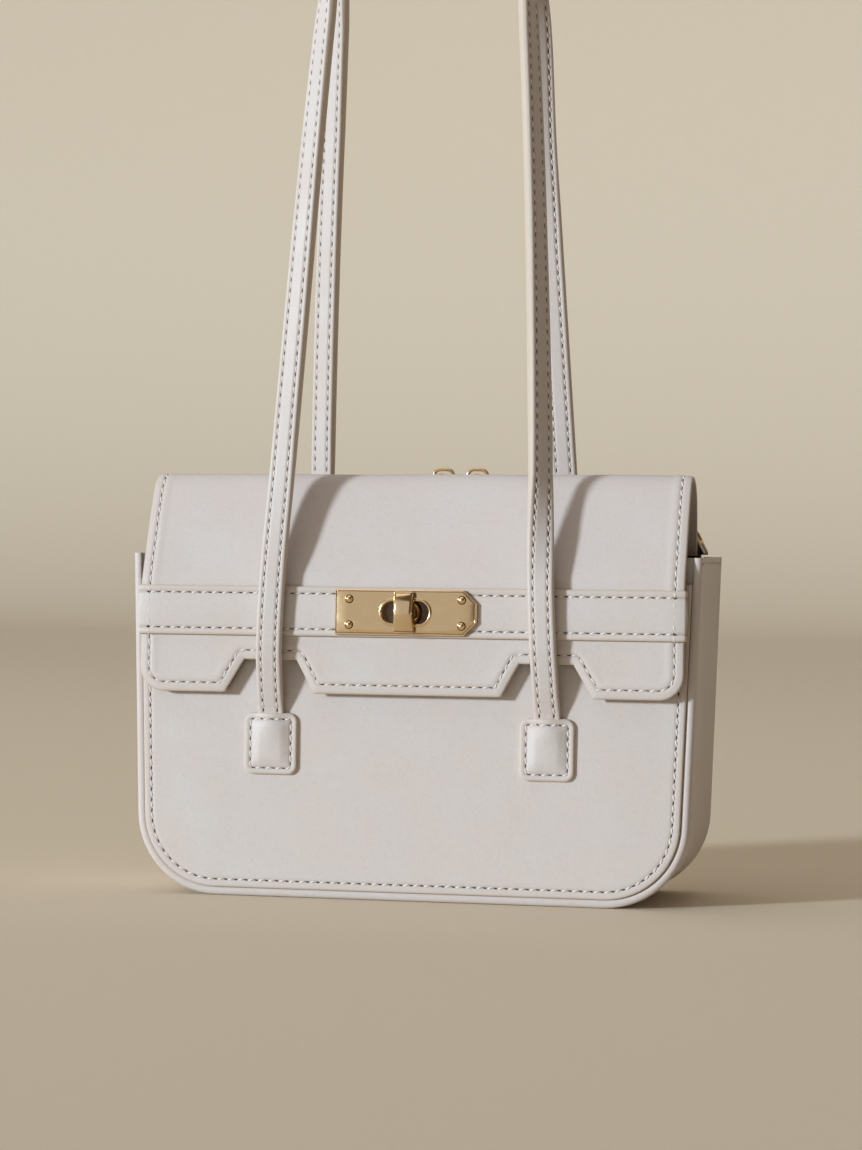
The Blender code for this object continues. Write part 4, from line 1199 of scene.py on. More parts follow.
    def build_pull(self, hand: Hand, x: float, z: float) -> None:
        """Flat oval pull with a window for the bridge and a shallow rim round its face.

        Rings run from the window to the outer edge; each ring is the outline
        blended from the window's shape to the pull's, with its own height.

        Args:
            hand: the side it lies towards.
            x: place of the bridge across the width.
            z: height of the bridge.
        """
        c, s = around(64)
        length, radius, foot, turn = self.pull_length, self.pull_radius, self.pull_foot, 0.35
        window = join(self.window_half[0] * power(c, 0.4),
                      self.window_middle + self.window_half[1] * power(s, 0.4))
        tip = length - radius + radius * s
        flank = foot + (length - radius - foot + radius * turn) * s / turn
        end = foot - 1.3 * MM * np.abs(s) ** 0.3
        outer = join(radius * np.where(s > 0, c, power(c, 0.3)),
                     np.where(s > 0, np.where(s < turn, flank, tip), end))
        share = np.array([0, 0, 0.06, 0.5, 0.72, 0.80, 0.9, 0.97, 1.0, 1.0])
        height = np.array([0.0, 0.36, 0.5, 0.5, 0.5, 0.36, 0.55, 0.5, 0.32, 0.0]) * MM
        ring = window + (outer - window) * np.append(share, share[-2:0:-1])[:, None, None]
        u, v = ring[..., 0], ring[..., 1]
        w = np.append(height, -height[-2:0:-1])[:, None]
        c, s = math.cos(self.pull_tilt), math.sin(self.pull_tilt)
        shape = Shape()
        shape.add_surface(join(x + hand.value * (v * c + w * s), self.path.y + u,
                               z - v * s + w * c), round_u=True, round_v=True)
        name = "zip_pull_" + hand.label
        self.finishes.settle(shape.build(name + "_plate", sharp_deg=50), Look.GOLD, name, name)

    def build_rear_panel(self, seams: StitchRow) -> None:
        """Leather from the zip down to the back panel: a bowed section whose top follows the zip.

        The section is a Catmull-Rom curve through eight knots. The upper ones fall
        from the zip's height to the first low one by fixed shares.
        """
        x = self.path.places(-self.path.half_length, self.path.half_length, 3.0 * MM)
        z = self.path.level(x)
        knots_y = np.array([13.9, 16.5, 21.4, 26.3, 28.6, 30.0, 30.3, 30.3]) * MM
        fall = np.array([0.0, 0.14, 0.46, 0.86, 1.0])[:, None]
        low = np.array([133.4, 132.6, 131.0, 126.0])[:, None] * MM
        levels = np.vstack([z + (low[0] - z) * fall, low[1:] + 0 * z])
        section = join(knots_y[:, None], levels)
        fine = smooth_line(section.reshape(8, -1), 4).reshape(-1, len(x), 2)
        step = np.gradient(fine, axis=0)
        normal = unit(join(-step[..., 1], step[..., 0]))
        normal = normal * np.where(normal[..., 1:] + normal[..., :1] < 0, -1, 1)
        rows = np.arange(len(fine))[:, None]
        thick = 0.6 * MM * np.where(rows == 0, 0.55, 1.0)
        stitched = bell(rows - 3, 1.0)
        spread = x * (1 - ease(rows / 16.0) * (1 - self.hem_half / self.path.half_length))
        outer, inner = (np.concatenate([spread[..., None], fine + normal * rise[..., None]], -1)
                        for rise in (thick - 0.15 * MM * stitched, -thick))
        shape = Shape()
        # painted shade along the stitched channel
        shape.add_slab(outer, inner, edge=np.where(rows == 0, 0.8, 0.0), crease=stitched * 0.6)
        self.finishes.settle(shape.build("zip_panel_rear_skin"), Look.LEATHER,
                             "bag_body", "zip_panel_rear")
        out = np.column_stack([0 * x, normal[3]])
        seams.sew(outer[3, 1:-1], out[1:-1])

    def build_divider(self, outline: BodyOutline, top: float) -> None:
        """Cloth-covered divider: the body's outline further in, with a top that follows the zip."""
        plan = outline.rows([5.0 * MM], top)[0]
        right = plan[len(plan) // 2:]
        half, step = self.path.half_length, 0.3 * MM
        reach = np.interp(np.linspace(0, 1, 45), np.linspace(0, 1, len(right)), right[:, 0])
        x = np.concatenate([np.linspace(0, 72, 14) * MM, reach[reach > 73 * MM]])
        x = np.unique(np.round(np.clip(x, 0, right[-1, 0] - 0.01 * MM), 6))
        steep = np.hypot(1, (self.path.level(x + step) - self.path.level(x - step)) / (2 * step))
        high = np.where(x > half, top, self.path.level(np.minimum(x, half)) - 0.7 * MM * steep)
        low, high = (mirrored(v, 1.0) for v in (np.interp(x, right[:, 0], right[:, 1]), high))
        z = low + (high - low) * np.linspace(0, 1, 13)[:, None]
        shape = Shape()
        shape.add_slab(*(join(mirrored(x), y, z)
                         for y in (self.divider_front, self.divider_back)))
        self.finishes.settle(shape.build("divider_cloth"), Look.LINING, "bag_body", "divider")


# --- flap, band and lock ---


@dataclass
class FlapSurface:
    """The bent outer face of the flap as a function of the place across it and the run down it.

    The run starts at the foot of the rear leg, climbs over the ridge and ends at the
    lobes. Below the bend the face is flat and lies a fixed distance in front of the panel.
    """

    half_width: float = 106.0 * MM
    bottom: float = 78.6 * MM
    bend: float = 121.0 * MM
    face: float = 5.3 * MM
    corner: float = 9.5 * MM
    notch: tuple[float, ...] = (36.5, 43.4, 64.2, 71.8)
    notch_top: float = 91.3 * MM
    seam_inset: float = 3.6 * MM
    lock_rows: tuple[float, ...] = (103.6, 107.0, 110.1, 113.2, 116.6, 119.0, 121.0)
    edge_rows: tuple[float, ...] = (
        0, 0.2, 0.45, 0.8, 1.3, 1.9, 2.5, 2.9, 3.25, 3.6, 3.95, 4.3, 4.8, 5.4, 6, 6.6, 7.2, 7.8,
        8.4, 9.1, 9.9, 10.8)
    knots: tuple = (
        (0.1, 132.6), (0.1, 146.0), (-0.3, 151.8), (-1.9, 156.8), (-4.9, 160.6), (-8.6, 162.6),
        (-12.0, 163.2), (-15.6, 161.7), (-18.9, 158.0), (-21.9, 152.0), (-24.8, 145.5),
        (-28.0, 137.5), (-30.9, 130.3), (-33.0, 125.2))

    def __post_init__(self) -> None:
        """Work out the bent middle line, its run and its normals."""
        flat = Side.FRONT.points(0.0, self.face, np.array([121.0, 112.0, 100.0]) * MM)[:, 1:]
        curve = smooth_line(np.vstack([np.array(self.knots) * MM, flat]), 10)
        curve = curve[:len(self.knots) * 10 + 1]
        run = lengths_along(curve)
        curve = np.vstack([pick_along(curve, run, np.arange(0, run[-1], 0.5 * MM)), curve[-1:]])
        end = Side.FRONT.points(0.0, self.face, self.bottom - 6 * MM)[1:]
        down = np.linspace(0, 1, 60)[1:, None]
        self.line = np.vstack([curve, curve[-1] + (end - curve[-1]) * down])
        self.run = lengths_along(self.line)
        self.bend_run = float(lengths_along(curve)[-1])
        step = unit(np.gradient(self.line, self.run, axis=0))
        self.normals = join(step[:, 1], -step[:, 0])
        self.normals[len(curve):] = Side.FRONT.normal()[1:]

    def other(self, value: Array) -> Array:
        """Run of a height along the front face, and height of a run: their sum is fixed."""
        return self.bend + self.bend_run - value

    def points(self, x: Array, run: Array, rise: Amount) -> Array:
        """Points of the flap: the line's point at the run, moved along its normal by the rise."""
        x, run, rise = np.broadcast_arrays(x, run, rise)
        middle, out = (pick_along(v, self.run, run) for v in (self.line, self.normals))
        return np.concatenate([x[..., None], middle + out * rise[..., None]], -1)

    def normal(self, run: Array) -> Array:
        """Unit normals of the flap at a run."""
        return unit(np.column_stack([0 * run, pick_along(self.normals, self.run, run)]))

    def lower_edge(self, x: Array) -> Array:
        """Height of the lower edge along the front face at each place x."""
        a, b, c, d = (v * MM for v in self.notch)
        low, high = self.bottom, self.notch_top
        edge = np.interp(np.abs(x), [0, a, b, c, d, self.half_width],
                         [low, low, high, high, low, low])
        return edge + edge_drop(self.half_width - np.abs(x), self.corner)

    def outline(self, inset: float = 0.0) -> Array:
        """Right half of the outline (x, height), from the lower edge to above the ridge."""
        a, b, c, d = (v * MM for v in self.notch)
        turn = np.linspace(0, math.pi / 2, 13)
        line = np.vstack([
            [(0, self.bottom), (a, self.bottom), (b, self.notch_top), (c, self.notch_top),
             (d, self.bottom)],
            join(self.half_width - self.corner * (1 - np.sin(turn)),
                 self.bottom + self.corner * (1 - np.cos(turn))),
            [(self.half_width, self.bend + self.bend_run)],
        ])
        return move_line(line, inset) if inset else line

    def columns(self) -> Array:
        """Places across the flap, closer together at the notches and the sides."""
        inner = spans([0, 11.5, 31, 36.5, 43.4, 48, 59.5, 64.2, 71.8, 77, 96.5],
                      [4, 7, 6, 12, 6, 4, 6, 12, 6, 7])[:-1]
        round_off = self.corner * np.sin(np.linspace(0, math.pi / 2, 24))
        return mirrored(np.append(inner, self.half_width - self.corner + round_off))

    def grid(self, margin: float = 0.0, run_start: float = 0.0) -> tuple[Array, Array, Array]:
        """Layout of the flap's surface.

        Each column starts at the lower edge. Its first rows keep their distance
        from that edge, the next ones close up to fixed heights round the lock, and
        the rest follow the bent line at even runs.

        Args:
            margin: how far the layer stays inside the leather's edge.
            run_start: run of the last row, 0 at the foot of the rear leg.

        Returns:
            Places x, runs and kept cells.
        """
        x = self.columns() * (1 - margin / self.half_width)
        low = self.lower_edge(self.columns()) + margin
        first = low + np.array(self.edge_rows)[:, None] * MM
        lock = np.array(self.lock_rows)[:, None] * MM
        second = first[-1] + (lock[0] - first[-1]) * np.array([[0.33], [0.66]])
        count = round((self.bend_run - run_start) / (1.7 * MM))
        back = np.linspace(self.bend_run, run_start, count + 1)[1:, None]
        runs = np.vstack([self.other(np.vstack([first, second, lock + 0 * x])), back + 0 * x])
        spread = np.broadcast_to(x, runs.shape)
        mid_x = np.abs(spread[1:, 1:] + spread[:-1, :-1]) / 2
        mid_up = self.other((runs[1:, 1:] + runs[:-1, :-1]) / 2)
        hole = (mid_x < WINDOW_HALF) & (mid_up > lock[0]) & (mid_up < lock[4])
        return spread, runs, ~hole

    def edge_distance(self, x: Array, runs: Array) -> Array:
        """Distance of each place to the flap's side and lower edges."""
        return distance_to_line(np.abs(x), self.other(runs), self.outline())


@dataclass
class Flap:
    """Flap leather, its lining, its edge seam and the band across it."""

    finishes: Finishes
    surface: FlapSurface = field(default_factory=FlapSurface)
    wall: float = 1.5 * MM
    lining_wall: float = 0.8 * MM
    edge_radius: float = 0.55 * MM
    margin_fall: float = 0.42 * MM
    channel_depth: float = 0.30 * MM
    swell_height: float = 0.12 * MM
    swell_inset: float = 5.6 * MM
    swell_width: float = 1.3 * MM
    wave_height: float = 0.28 * MM
    wave: float = 52.0 * MM
    wave_start: float = 4.0 * MM
    wave_slope: float = 14.0 * MM
    calm_half: float = 9.0 * MM
    calm_fade: float = 4.0 * MM
    back_radius: float = 0.4 * MM
    band_low: float = 100.6 * MM
    band_high: float = 119.6 * MM
    band_near: float = 5.6 * MM
    band_back: float = 3.8 * MM
    band_corner: float = 1.3 * MM
    band_wall: float = 1.3 * MM
    band_seam: float = 2.7 * MM
    band_channel: float = 0.26 * MM
    band_groove: float = 0.45 * MM
    band_lift: float = 1.68 * MM
    band_seam_gap: float = 28.4 * MM
    band_seam_end: float = 4.6 * MM
    band_radius: float = 0.5 * MM
    band_roll: float = 0.16 * MM
    band_pillow: float = 0.22 * MM
    band_fall: float = 0.45 * MM
    band_fall_start: float = 102.6 * MM
    cross_channel: float = 0.22 * MM
    window_half_height: float = 6.0 * MM
    band_steps: tuple[float, ...] = (
        0, 0.12, 0.32, 0.6, 1.0, 1.5, 2.0, 2.4, 2.7, 3.0, 3.4, 4.2, 6.0, 7.8)
    bend_start: Vector = (0.0, -4.0 * MM, 0.0)
    bend_end: Vector = (0.0, -20.0 * MM, 0.0)

    def bend_over_ridge(self, obj: Object, look: Look, *nodes: str) -> Object:
        """Dress a layer, hide the nodes that it stands for and bake its place into its points."""
        self.finishes.dress(obj, look)
        if nodes:
            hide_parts(*nodes)
        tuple(self.bend_start)
        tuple(self.bend_end)
        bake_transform(obj)
        return obj

    def build_leather(self, seams: StitchRow) -> None:
        """The bent sheet of leather and its edge seam.

        The edge is rounded, the margin outside the seam bends down a little, the
        seam lies in a channel, and slow waves keep the face from being flat.
        """
        s = self.surface
        x, runs, keep = s.grid()
        d = s.edge_distance(x, runs)
        rise = -edge_drop(d, self.edge_radius)
        rise -= self.margin_fall * np.clip(1 - d / s.seam_inset, 0, 1) ** 2
        rise -= self.channel_depth * groove(d, s.seam_inset)
        rise += self.swell_height * groove(d, self.swell_inset, self.swell_width)
        from_lock = np.abs(s.other(runs) - LOCK_UP) - self.calm_half
        calm = 1 - bell(np.clip(from_lock, 0, None), self.calm_fade)
        waves = self.wave_height * ripple(x, runs, self.wave, 2.2)
        rise += waves * ease((d - self.wave_start) / self.wave_slope) * calm
        shape = Shape()
        # painted shade along the seam channel
        shape.add_slab(s.points(x, runs, rise),
                       s.points(x, runs, edge_drop(d, self.back_radius) - self.wall), keep,
                       edge=painted(d, 1.15, 1.0 * MM),
                       crease=groove(d, s.seam_inset))
        self.bend_over_ridge(shape.build("flap_leather_skin"), Look.LEATHER,
                             "flap_leather", "flap_root")
        line = s.outline(s.seam_inset)
        line[-1, 1] = s.other(16 * MM)
        line = mirrored(line, np.array([-1, 1]))
        line = respaced(line, round(lengths_along(line)[-1] / (0.8 * MM)))
        across, up = line.T
        over_band = (up > self.band_low + 0.4 * MM) & (up < self.band_high - 0.4 * MM)
        over_band &= np.abs(across) > 90 * MM
        seams.sew(s.points(across, s.other(up), -self.channel_depth), s.normal(s.other(up)),
                  np.where(over_band, self.band_lift, 0.0))

    def build_lining(self) -> None:
        """Thin cloth layer under the leather, kept inside its edge."""
        s = self.surface
        x, runs, keep = s.grid(1.2 * MM, s.bend_run - 47.0 * MM)
        near = -self.wall - 0.3 * MM
        soft = 0.08 * MM * ripple(x, runs, 18 * MM, 0.4)
        shape = Shape()
        shape.add_slab(s.points(x, runs, near),
                       s.points(x, runs, near - self.lining_wall + soft), keep)
        obj = self.bend_over_ridge(shape.build("flap_lining_cloth"), Look.LINING, "flap_lining")
        declare_cloth(obj)

    def band_path(self) -> tuple[Array, Array, Array]:
        """Right half of the band's outer face, its normals and its inner face (x, out).

        The path runs straight across, round a quarter circle and back along the
        flap's side edge.
        """
        half = self.surface.half_width + 0.3 * MM
        wide, face = half + 0.9 * MM, self.band_near + self.band_wall
        turn = np.linspace(math.pi / 2, 0, 7)
        ring = join(np.cos(turn), np.sin(turn))
        across = spans([0, 11.5, 106.0], [4, 31])
        across = across[across < wide - self.band_corner - 0.2 * MM]
        back = np.linspace(self.band_back, face - self.band_corner, 5)[-2::-1]
        flat = np.zeros_like(across)
        centre = np.array([wide, face]) - self.band_corner
        outer = np.vstack([join(across, flat + face), centre + self.band_corner * ring,
                           join(wide, back)])
        normals = np.vstack([join(flat, flat + 1), ring, np.tile([1.0, 0.0], (4, 1))])
        inner = join(np.concatenate([np.minimum(across, half), np.full(11, half)]),
                     np.concatenate([flat + self.band_near, np.full(7, self.band_near), back]))
        return outer, normals, inner

    def build_band(self, seams: StitchRow) -> None:
        """Band across the flap, whose ends turn round the flap's side edges.

        The section across the path has rounded edges and two stitched channels.
        """
        flip = np.array([-1, 1])
        outer, normals, inner = (mirrored(v, flip) for v in self.band_path())
        steps = np.array(self.band_steps) * MM
        height = self.band_high - self.band_low
        v = np.concatenate([steps, height - steps[::-1]])[:, None]
        d = np.minimum(v, height - v)
        up = self.band_low + v
        sunk = groove(d, self.band_seam, self.band_groove)
        rise = -edge_drop(d, self.band_radius) - self.band_channel * sunk
        rise += self.band_roll * bell(d - 1.2 * MM, 0.7 * MM)
        rise += self.band_pillow * ease((d - 3 * MM) / (6 * MM))
        reach = np.abs(outer[:, 0])
        beside = reach - (self.surface.half_width - self.surface.seam_inset)
        past = np.clip((reach - self.band_fall_start) / (3.4 * MM), 0, 1)
        rise = rise - self.cross_channel * groove(beside, 0.0) - self.band_fall * past**2
        px, po = (outer[:, k] + normals[:, k] * rise for k in (0, 1))
        mid_x = np.abs(outer[1:, 0] + outer[:-1, 0]) / 2
        mid_up = np.abs((up[1:] + up[:-1]) / 2 - LOCK_UP)
        shape = Shape()
        # painted shade in both stitched channels
        shape.add_slab(Side.FRONT.points(px, po, up),
                       Side.FRONT.points(inner[:, 0], inner[:, 1], up),
                       (mid_x >= WINDOW_HALF) | (mid_up >= self.window_half_height),
                       edge=painted(d, 1.1, 1.1 * MM),
                       crease=sunk)
        self.finishes.settle(shape.build("flap_band_skin"), Look.LEATHER, "flap", "flap_band")
        end = reach.max() - self.band_seam_end
        across = np.linspace(-end, end, 300)
        face = self.band_near + self.band_wall - self.band_channel
        for level in (self.band_low + self.band_seam, self.band_high - self.band_seam):
            for sign in (-1, 1):
                part = across[across * sign > self.band_seam_gap]
                seams.sew(Side.FRONT.points(part, face, level), Side.FRONT.normal())


@dataclass
class TurnLock:
    """Plate, ferrule and rivets on the flap; toggle, post and washer on the body."""

    finishes: Finishes
    plate_half: float = 27.6 * MM
    plate_half_height: float = 8.65 * MM
    plate_back: float = 7.2 * MM
    plate_face: float = 8.9 * MM
    chamfer: float = 5.0 * MM
    slot_half: float = 9.05 * MM
    slot_half_height: float = 4.1 * MM
    ferrule_wall: float = 0.8 * MM
    ferrule_foot: float = 1.5 * MM
    ferrule_rise: float = 0.12 * MM
    rivet_places: tuple = ((-21.9, 4.9), (21.9, 4.9), (-21.9, -4.9), (21.9, -4.9))
    toggle_half: float = 7.9 * MM
    toggle_back: float = 9.9 * MM
    toggle_depth: float = 4.2 * MM
    toggle_inset: float = 0.35 * MM
    shank_half: tuple[float, float] = (1.4 * MM, 3.75 * MM)
    shank_levels: tuple[float, ...] = (1.35, 1.5, 9.0, 10.4)
    toggle_front_x: float = 3.25 * MM
    toggle_back_x: float = 3.85 * MM

    def place(self, x: Array, out: Array, up: Array) -> Array:
        """Points given by their height above the lock's centre."""
        return Side.FRONT.points(x, out, LOCK_UP + up)

    def cast(self, name: str, body: str, node: str | None, grid: Array, sharp_deg: float,
             **how: Amount | bool) -> None:
        """Make one metal piece from a grid of points (x, up, out).

        Args:
            name: the piece's name.
            body: the body that it rides on.
            node: the node that it stands for, if any.
            grid: rings of points.
            sharp_deg: edges that bend by more than this stay sharp.
            how: what Shape.add_surface takes; without round_u and round_v it is a tube.
        """
        shape = Shape()
        points = self.place(grid[..., 0], grid[..., 2], grid[..., 1])
        (shape.add_surface if "round_u" in how else shape.add_tube)(points, **how)
        obj = shape.build(name, sharp_deg=sharp_deg)
        self.finishes.settle(obj, Look.GOLD, body, *([node] if node else []))

    def slot_rays(self) -> tuple[Array, Array]:
        """Feet and directions of rays from the slot's middle line.

        Half circles of rays stand at both ends of the middle line, with one ray
        through each corner of the plate, so that the plate's outline keeps its corners.
        """
        straight = self.slot_half - self.slot_half_height
        p, h, c = self.plate_half, self.plate_half_height, self.chamfer
        feet, angles = [], []
        for sign, corners in ((1, [(p - c, -h), (p, -h + c), (p, h - c), (p - c, h)]),
                              (-1, [(p, h), (p, -h)])):
            exact = [math.atan2(z * sign, x - straight) for x, z in corners]
            even = np.linspace(-math.pi / 2, math.pi / 2, 33)
            gap = np.abs(even[:, None] - np.array(exact)[None]).min(1)
            merged = np.sort(np.concatenate([even[gap > 0.03], exact]))
            angles.append(merged if sign > 0 else merged + math.pi)
            feet.append(np.full(len(merged), sign * straight))
        angle, foot = np.concatenate(angles), np.concatenate(feet)
        return join(foot, 0.0), join(np.cos(angle), np.sin(angle))

    def slot_loop(self, grow: float) -> Array:
        """Oblong outline: the rays' ends at the slot's half height plus the growth."""
        foot, ring = self.slot_rays()
        return foot + ring * (self.slot_half_height + grow)

    def plate_loop(self) -> Array:
        """Outline of the plate: where each ray first crosses one of the plate's six sides."""
        foot, ring = self.slot_rays()
        p, h, c = self.plate_half, self.plate_half_height, self.chamfer
        q = math.sqrt(0.5)
        sides = np.array([(1, 0, p), (-1, 0, p), (0, 1, h), (0, -1, h),
                          (q, q, (p + h - c) * q), (q, -q, (p + h - c) * q)])
        speed = ring @ sides[:, :2].T
        room = sides[:, 2] - foot @ sides[:, :2].T
        reach = np.where(speed > 1e-9, room / np.maximum(speed, 1e-9), np.inf).min(1)
        return foot + ring * reach[:, None]

    def build_plate(self) -> None:
        """Plate with a polished bevel, a slot and a very slightly domed face.

        Each ring is the plate's outline moved inwards by a distance at a height; the
        last ones blend into the slot's outline.
        """
        outer = self.plate_loop()
        closed = np.vstack([outer[-1:], outer, outer[:1]])
        slot = self.slot_loop(self.ferrule_wall + 0.3 * MM)
        wall = self.plate_face - self.plate_back
        top = wall / MM
        profile = [(0.25, 0), (0, 0.25), (0, top - 0.62), (0.02, top - 0.55),
                   (0.42, top - 0.08), (0.5, top), (0.56, top - 0.05), (0.72, top - 0.1),
                   (0.84, top - 0.02), (0.9, top)]
        rings = [(move_line(closed, d * MM)[1:-1], h * MM) for d, h in profile]
        last = rings[-1][0]
        rings += [(last + (slot - last) * share, wall + rise * MM)
                  for share, rise in ((0.3, 0.03), (0.65, 0.05), (1.0, 0.05))]
        rings.append((slot, 0.0))
        grid = np.stack([join(*ring.T, self.plate_back + rise) for ring, rise in rings])
        # painted brown shade in the groove inside the bevel, along the foot of the plate's edge and
        # at the bottom of the slot
        recess_shade = np.zeros((len(rings), 1))
        recess_shade[6:9, 0] = 0.55, 0.8, 0.5
        recess_shade[[0, 1, -1]] = 0.8
        self.cast("lock_plate_polished", "flap", "lock_plate", grid, 24,
                  round_u=True, round_v=True, crease=recess_shade)

    def build_ferrule(self) -> None:
        """Sleeve through the slot whose rim is a half round bead on the plate."""
        face = self.plate_face + self.ferrule_rise
        profile = [(0.0, self.ferrule_foot), (0.0, face - 0.5 * MM), (0.03 * MM, face)]
        profile += [((0.68 - 0.62 * math.cos(t)) * MM, face + (0.02 + 0.42 * math.sin(t)) * MM)
                    for t in np.linspace(0, math.pi, 9)]
        profile += [(1.3 * MM, face - 0.04 * MM), (self.ferrule_wall, face - 0.04 * MM),
                    (self.ferrule_wall, self.ferrule_foot)]
        grid = np.stack([join(*self.slot_loop(grow).T, out) for grow, out in profile])
        # painted brown shade down the inside of the sleeve and where its bead meets the plate
        recess_shade = np.zeros((len(profile), 1))
        recess_shade[[0, 1, -4, -3]] = 0.55
        self.cast("lock_ferrule_rim", "flap", "lock_ferrule", grid, 50,
                  round_u=True, round_v=True, crease=recess_shade)

    def turn(self, name: str, body: str, node: str, profile: list[tuple[float, float]],
             centre: tuple[float, float] = (0.0, 0.0), recess_shade: tuple[int, ...] = ()) -> None:
        """Make a body of revolution about an axis out of the front face.

        Args:
            name: the piece's name.
            body: the body that it rides on.
            node: the node that it stands for.
            profile: pairs of radius and height in mm.
            centre: place of the axis (x, up) in mm.
            recess_shade: rows of the profile that get a painted brown shade.
        """
        line = np.array(profile)
        c, s = around(40)
        r, h = line[:, :1], line[:, 1:]
        grid = join(centre[0] + r * c, centre[1] + r * s, h) * MM
        # rows with painted brown shade
        shade_rows = np.isin(np.arange(len(line)), recess_shade).astype(float)[:, None]
        self.cast(name, body, node, grid, 40, round_u=profile[0][0] > 0, round_v=True, crease=shade_rows)

    def build_rivets(self) -> None:
        """Four dome rivets, each on a thin seat ring."""
        foot = self.plate_face / MM + 0.06
        dome = [(0, 1.22), (0.5, 1.14), (0.98, 0.86), (1.3, 0.42), (1.4, 0.16), (1.62, 0.1),
                (1.68, -0.02), (0, -0.02)]
        # painted brown shade round the foot of each dome, where it meets the plate
        for i, centre in enumerate(self.rivet_places, 1):
            self.turn("lock_rivet_%d_dome" % i, "flap", "lock_rivet_%d" % i,
                      [(r, foot + h) for r, h in dome], centre, recess_shade=(4, 5, 6))

    def build_toggle(self) -> None:
        """Toggle head: a low arch along the height, narrower at its face than at its back.

        The section at each height is a rounded trapezium; its depth follows one
        minus the squared height, which gives the arched face, and both ends stay
        flat behind a thin lip. The shank is a rounded bar, a superellipse drawn
        out of the front face.
        """
        front_x, back_x = self.toggle_front_x, self.toggle_back_x
        t = np.array([-1, -1, -0.99, -0.95, -0.93, -0.86, -0.76, -0.64, -0.5, -0.34, -0.17, 0])
        t = np.concatenate([t, -t[-2::-1]])[:, None]
        arch = 0.42 + 0.58 * np.clip(1 - t ** 2, 0, 1) ** 0.85
        arch[[2, 3, -4, -3]] += 0.06
        inset = np.zeros_like(t)
        inset[[0, -1]] = self.toggle_inset
        corner = np.array([(-back_x, 0.25), (-back_x, 0.5), (-front_x - 0.25 * MM, 0.86),
                           (-front_x + 0.1 * MM, 0.975), (-front_x + 0.6 * MM, 1.0)])
        flat = front_x - 0.6 * MM
        across = np.linspace(-flat, flat, 9)[1:-1]
        base = np.array([(back_x, 0.08), (back_x - 0.3 * MM, 0.0), (0, 0.0),
                         (-back_x + 0.3 * MM, 0.0), (-back_x, 0.08)])
        loop = np.vstack([corner, join(across, 1.04 - 0.04 * (across / flat) ** 2),
                          corner[::-1] * np.array([-1, 1]), base])
        x = np.sign(loop[:, 0]) * np.maximum(np.abs(loop[:, 0]) - inset, 0)
        out = self.toggle_back + self.toggle_depth * arch * loop[:, 1]
        grid = join(x, t * self.toggle_half, out)
        # painted brown shade in the grooves behind the end lips and along the back edges of the
        # head
        recess_shade = np.zeros(grid.shape[:2])
        recess_shade[[4, -5]] = 0.7
        recess_shade[:, [0, 1, -4, -5]] = 0.45
        self.cast("toggle_head_cast", "toggle", "toggle_head", grid, 42, crease=recess_shade)
        c, s = around(36)
        level = np.array(self.shank_levels)[:, None] * MM
        grow = np.array([0.94, 1.0, 1.0, 1.0])[:, None]
        wide, tall = self.shank_half
        grid = join(wide * power(c, 0.3) * grow, tall * power(s, 0.3) * grow, level)
        # the shank, standing behind the head, gets an even painted shade
        self.cast("toggle_shank_cast", "toggle", None, grid, 42, crease=0.2)

    def build_post(self) -> None:
        """Toggle post with its flange, the base ring on the panel and the washer behind it."""
        self.turn("toggle_post_turned", "toggle", "toggle_post",
                  [(0, 1.45), (2.6, 1.45), (2.6, -4.7), (4.0, -4.7), (4.0, -5.5), (0, -5.5)])
        self.turn("lock_base_turned", "bag_body", "lock_base",
                  [(2.9, 1.05), (3.3, 1.2), (4.4, 1.2), (4.8, 0.85), (4.8, 0.3), (2.9, 0.3)])
        self.turn("lock_washer_turned", "bag_body", "lock_washer",
                  [(2.9, -3.6), (7.9, -3.6), (8.0, -3.9), (7.7, -4.4), (2.9, -4.4)])


# --- tabs and handles ---


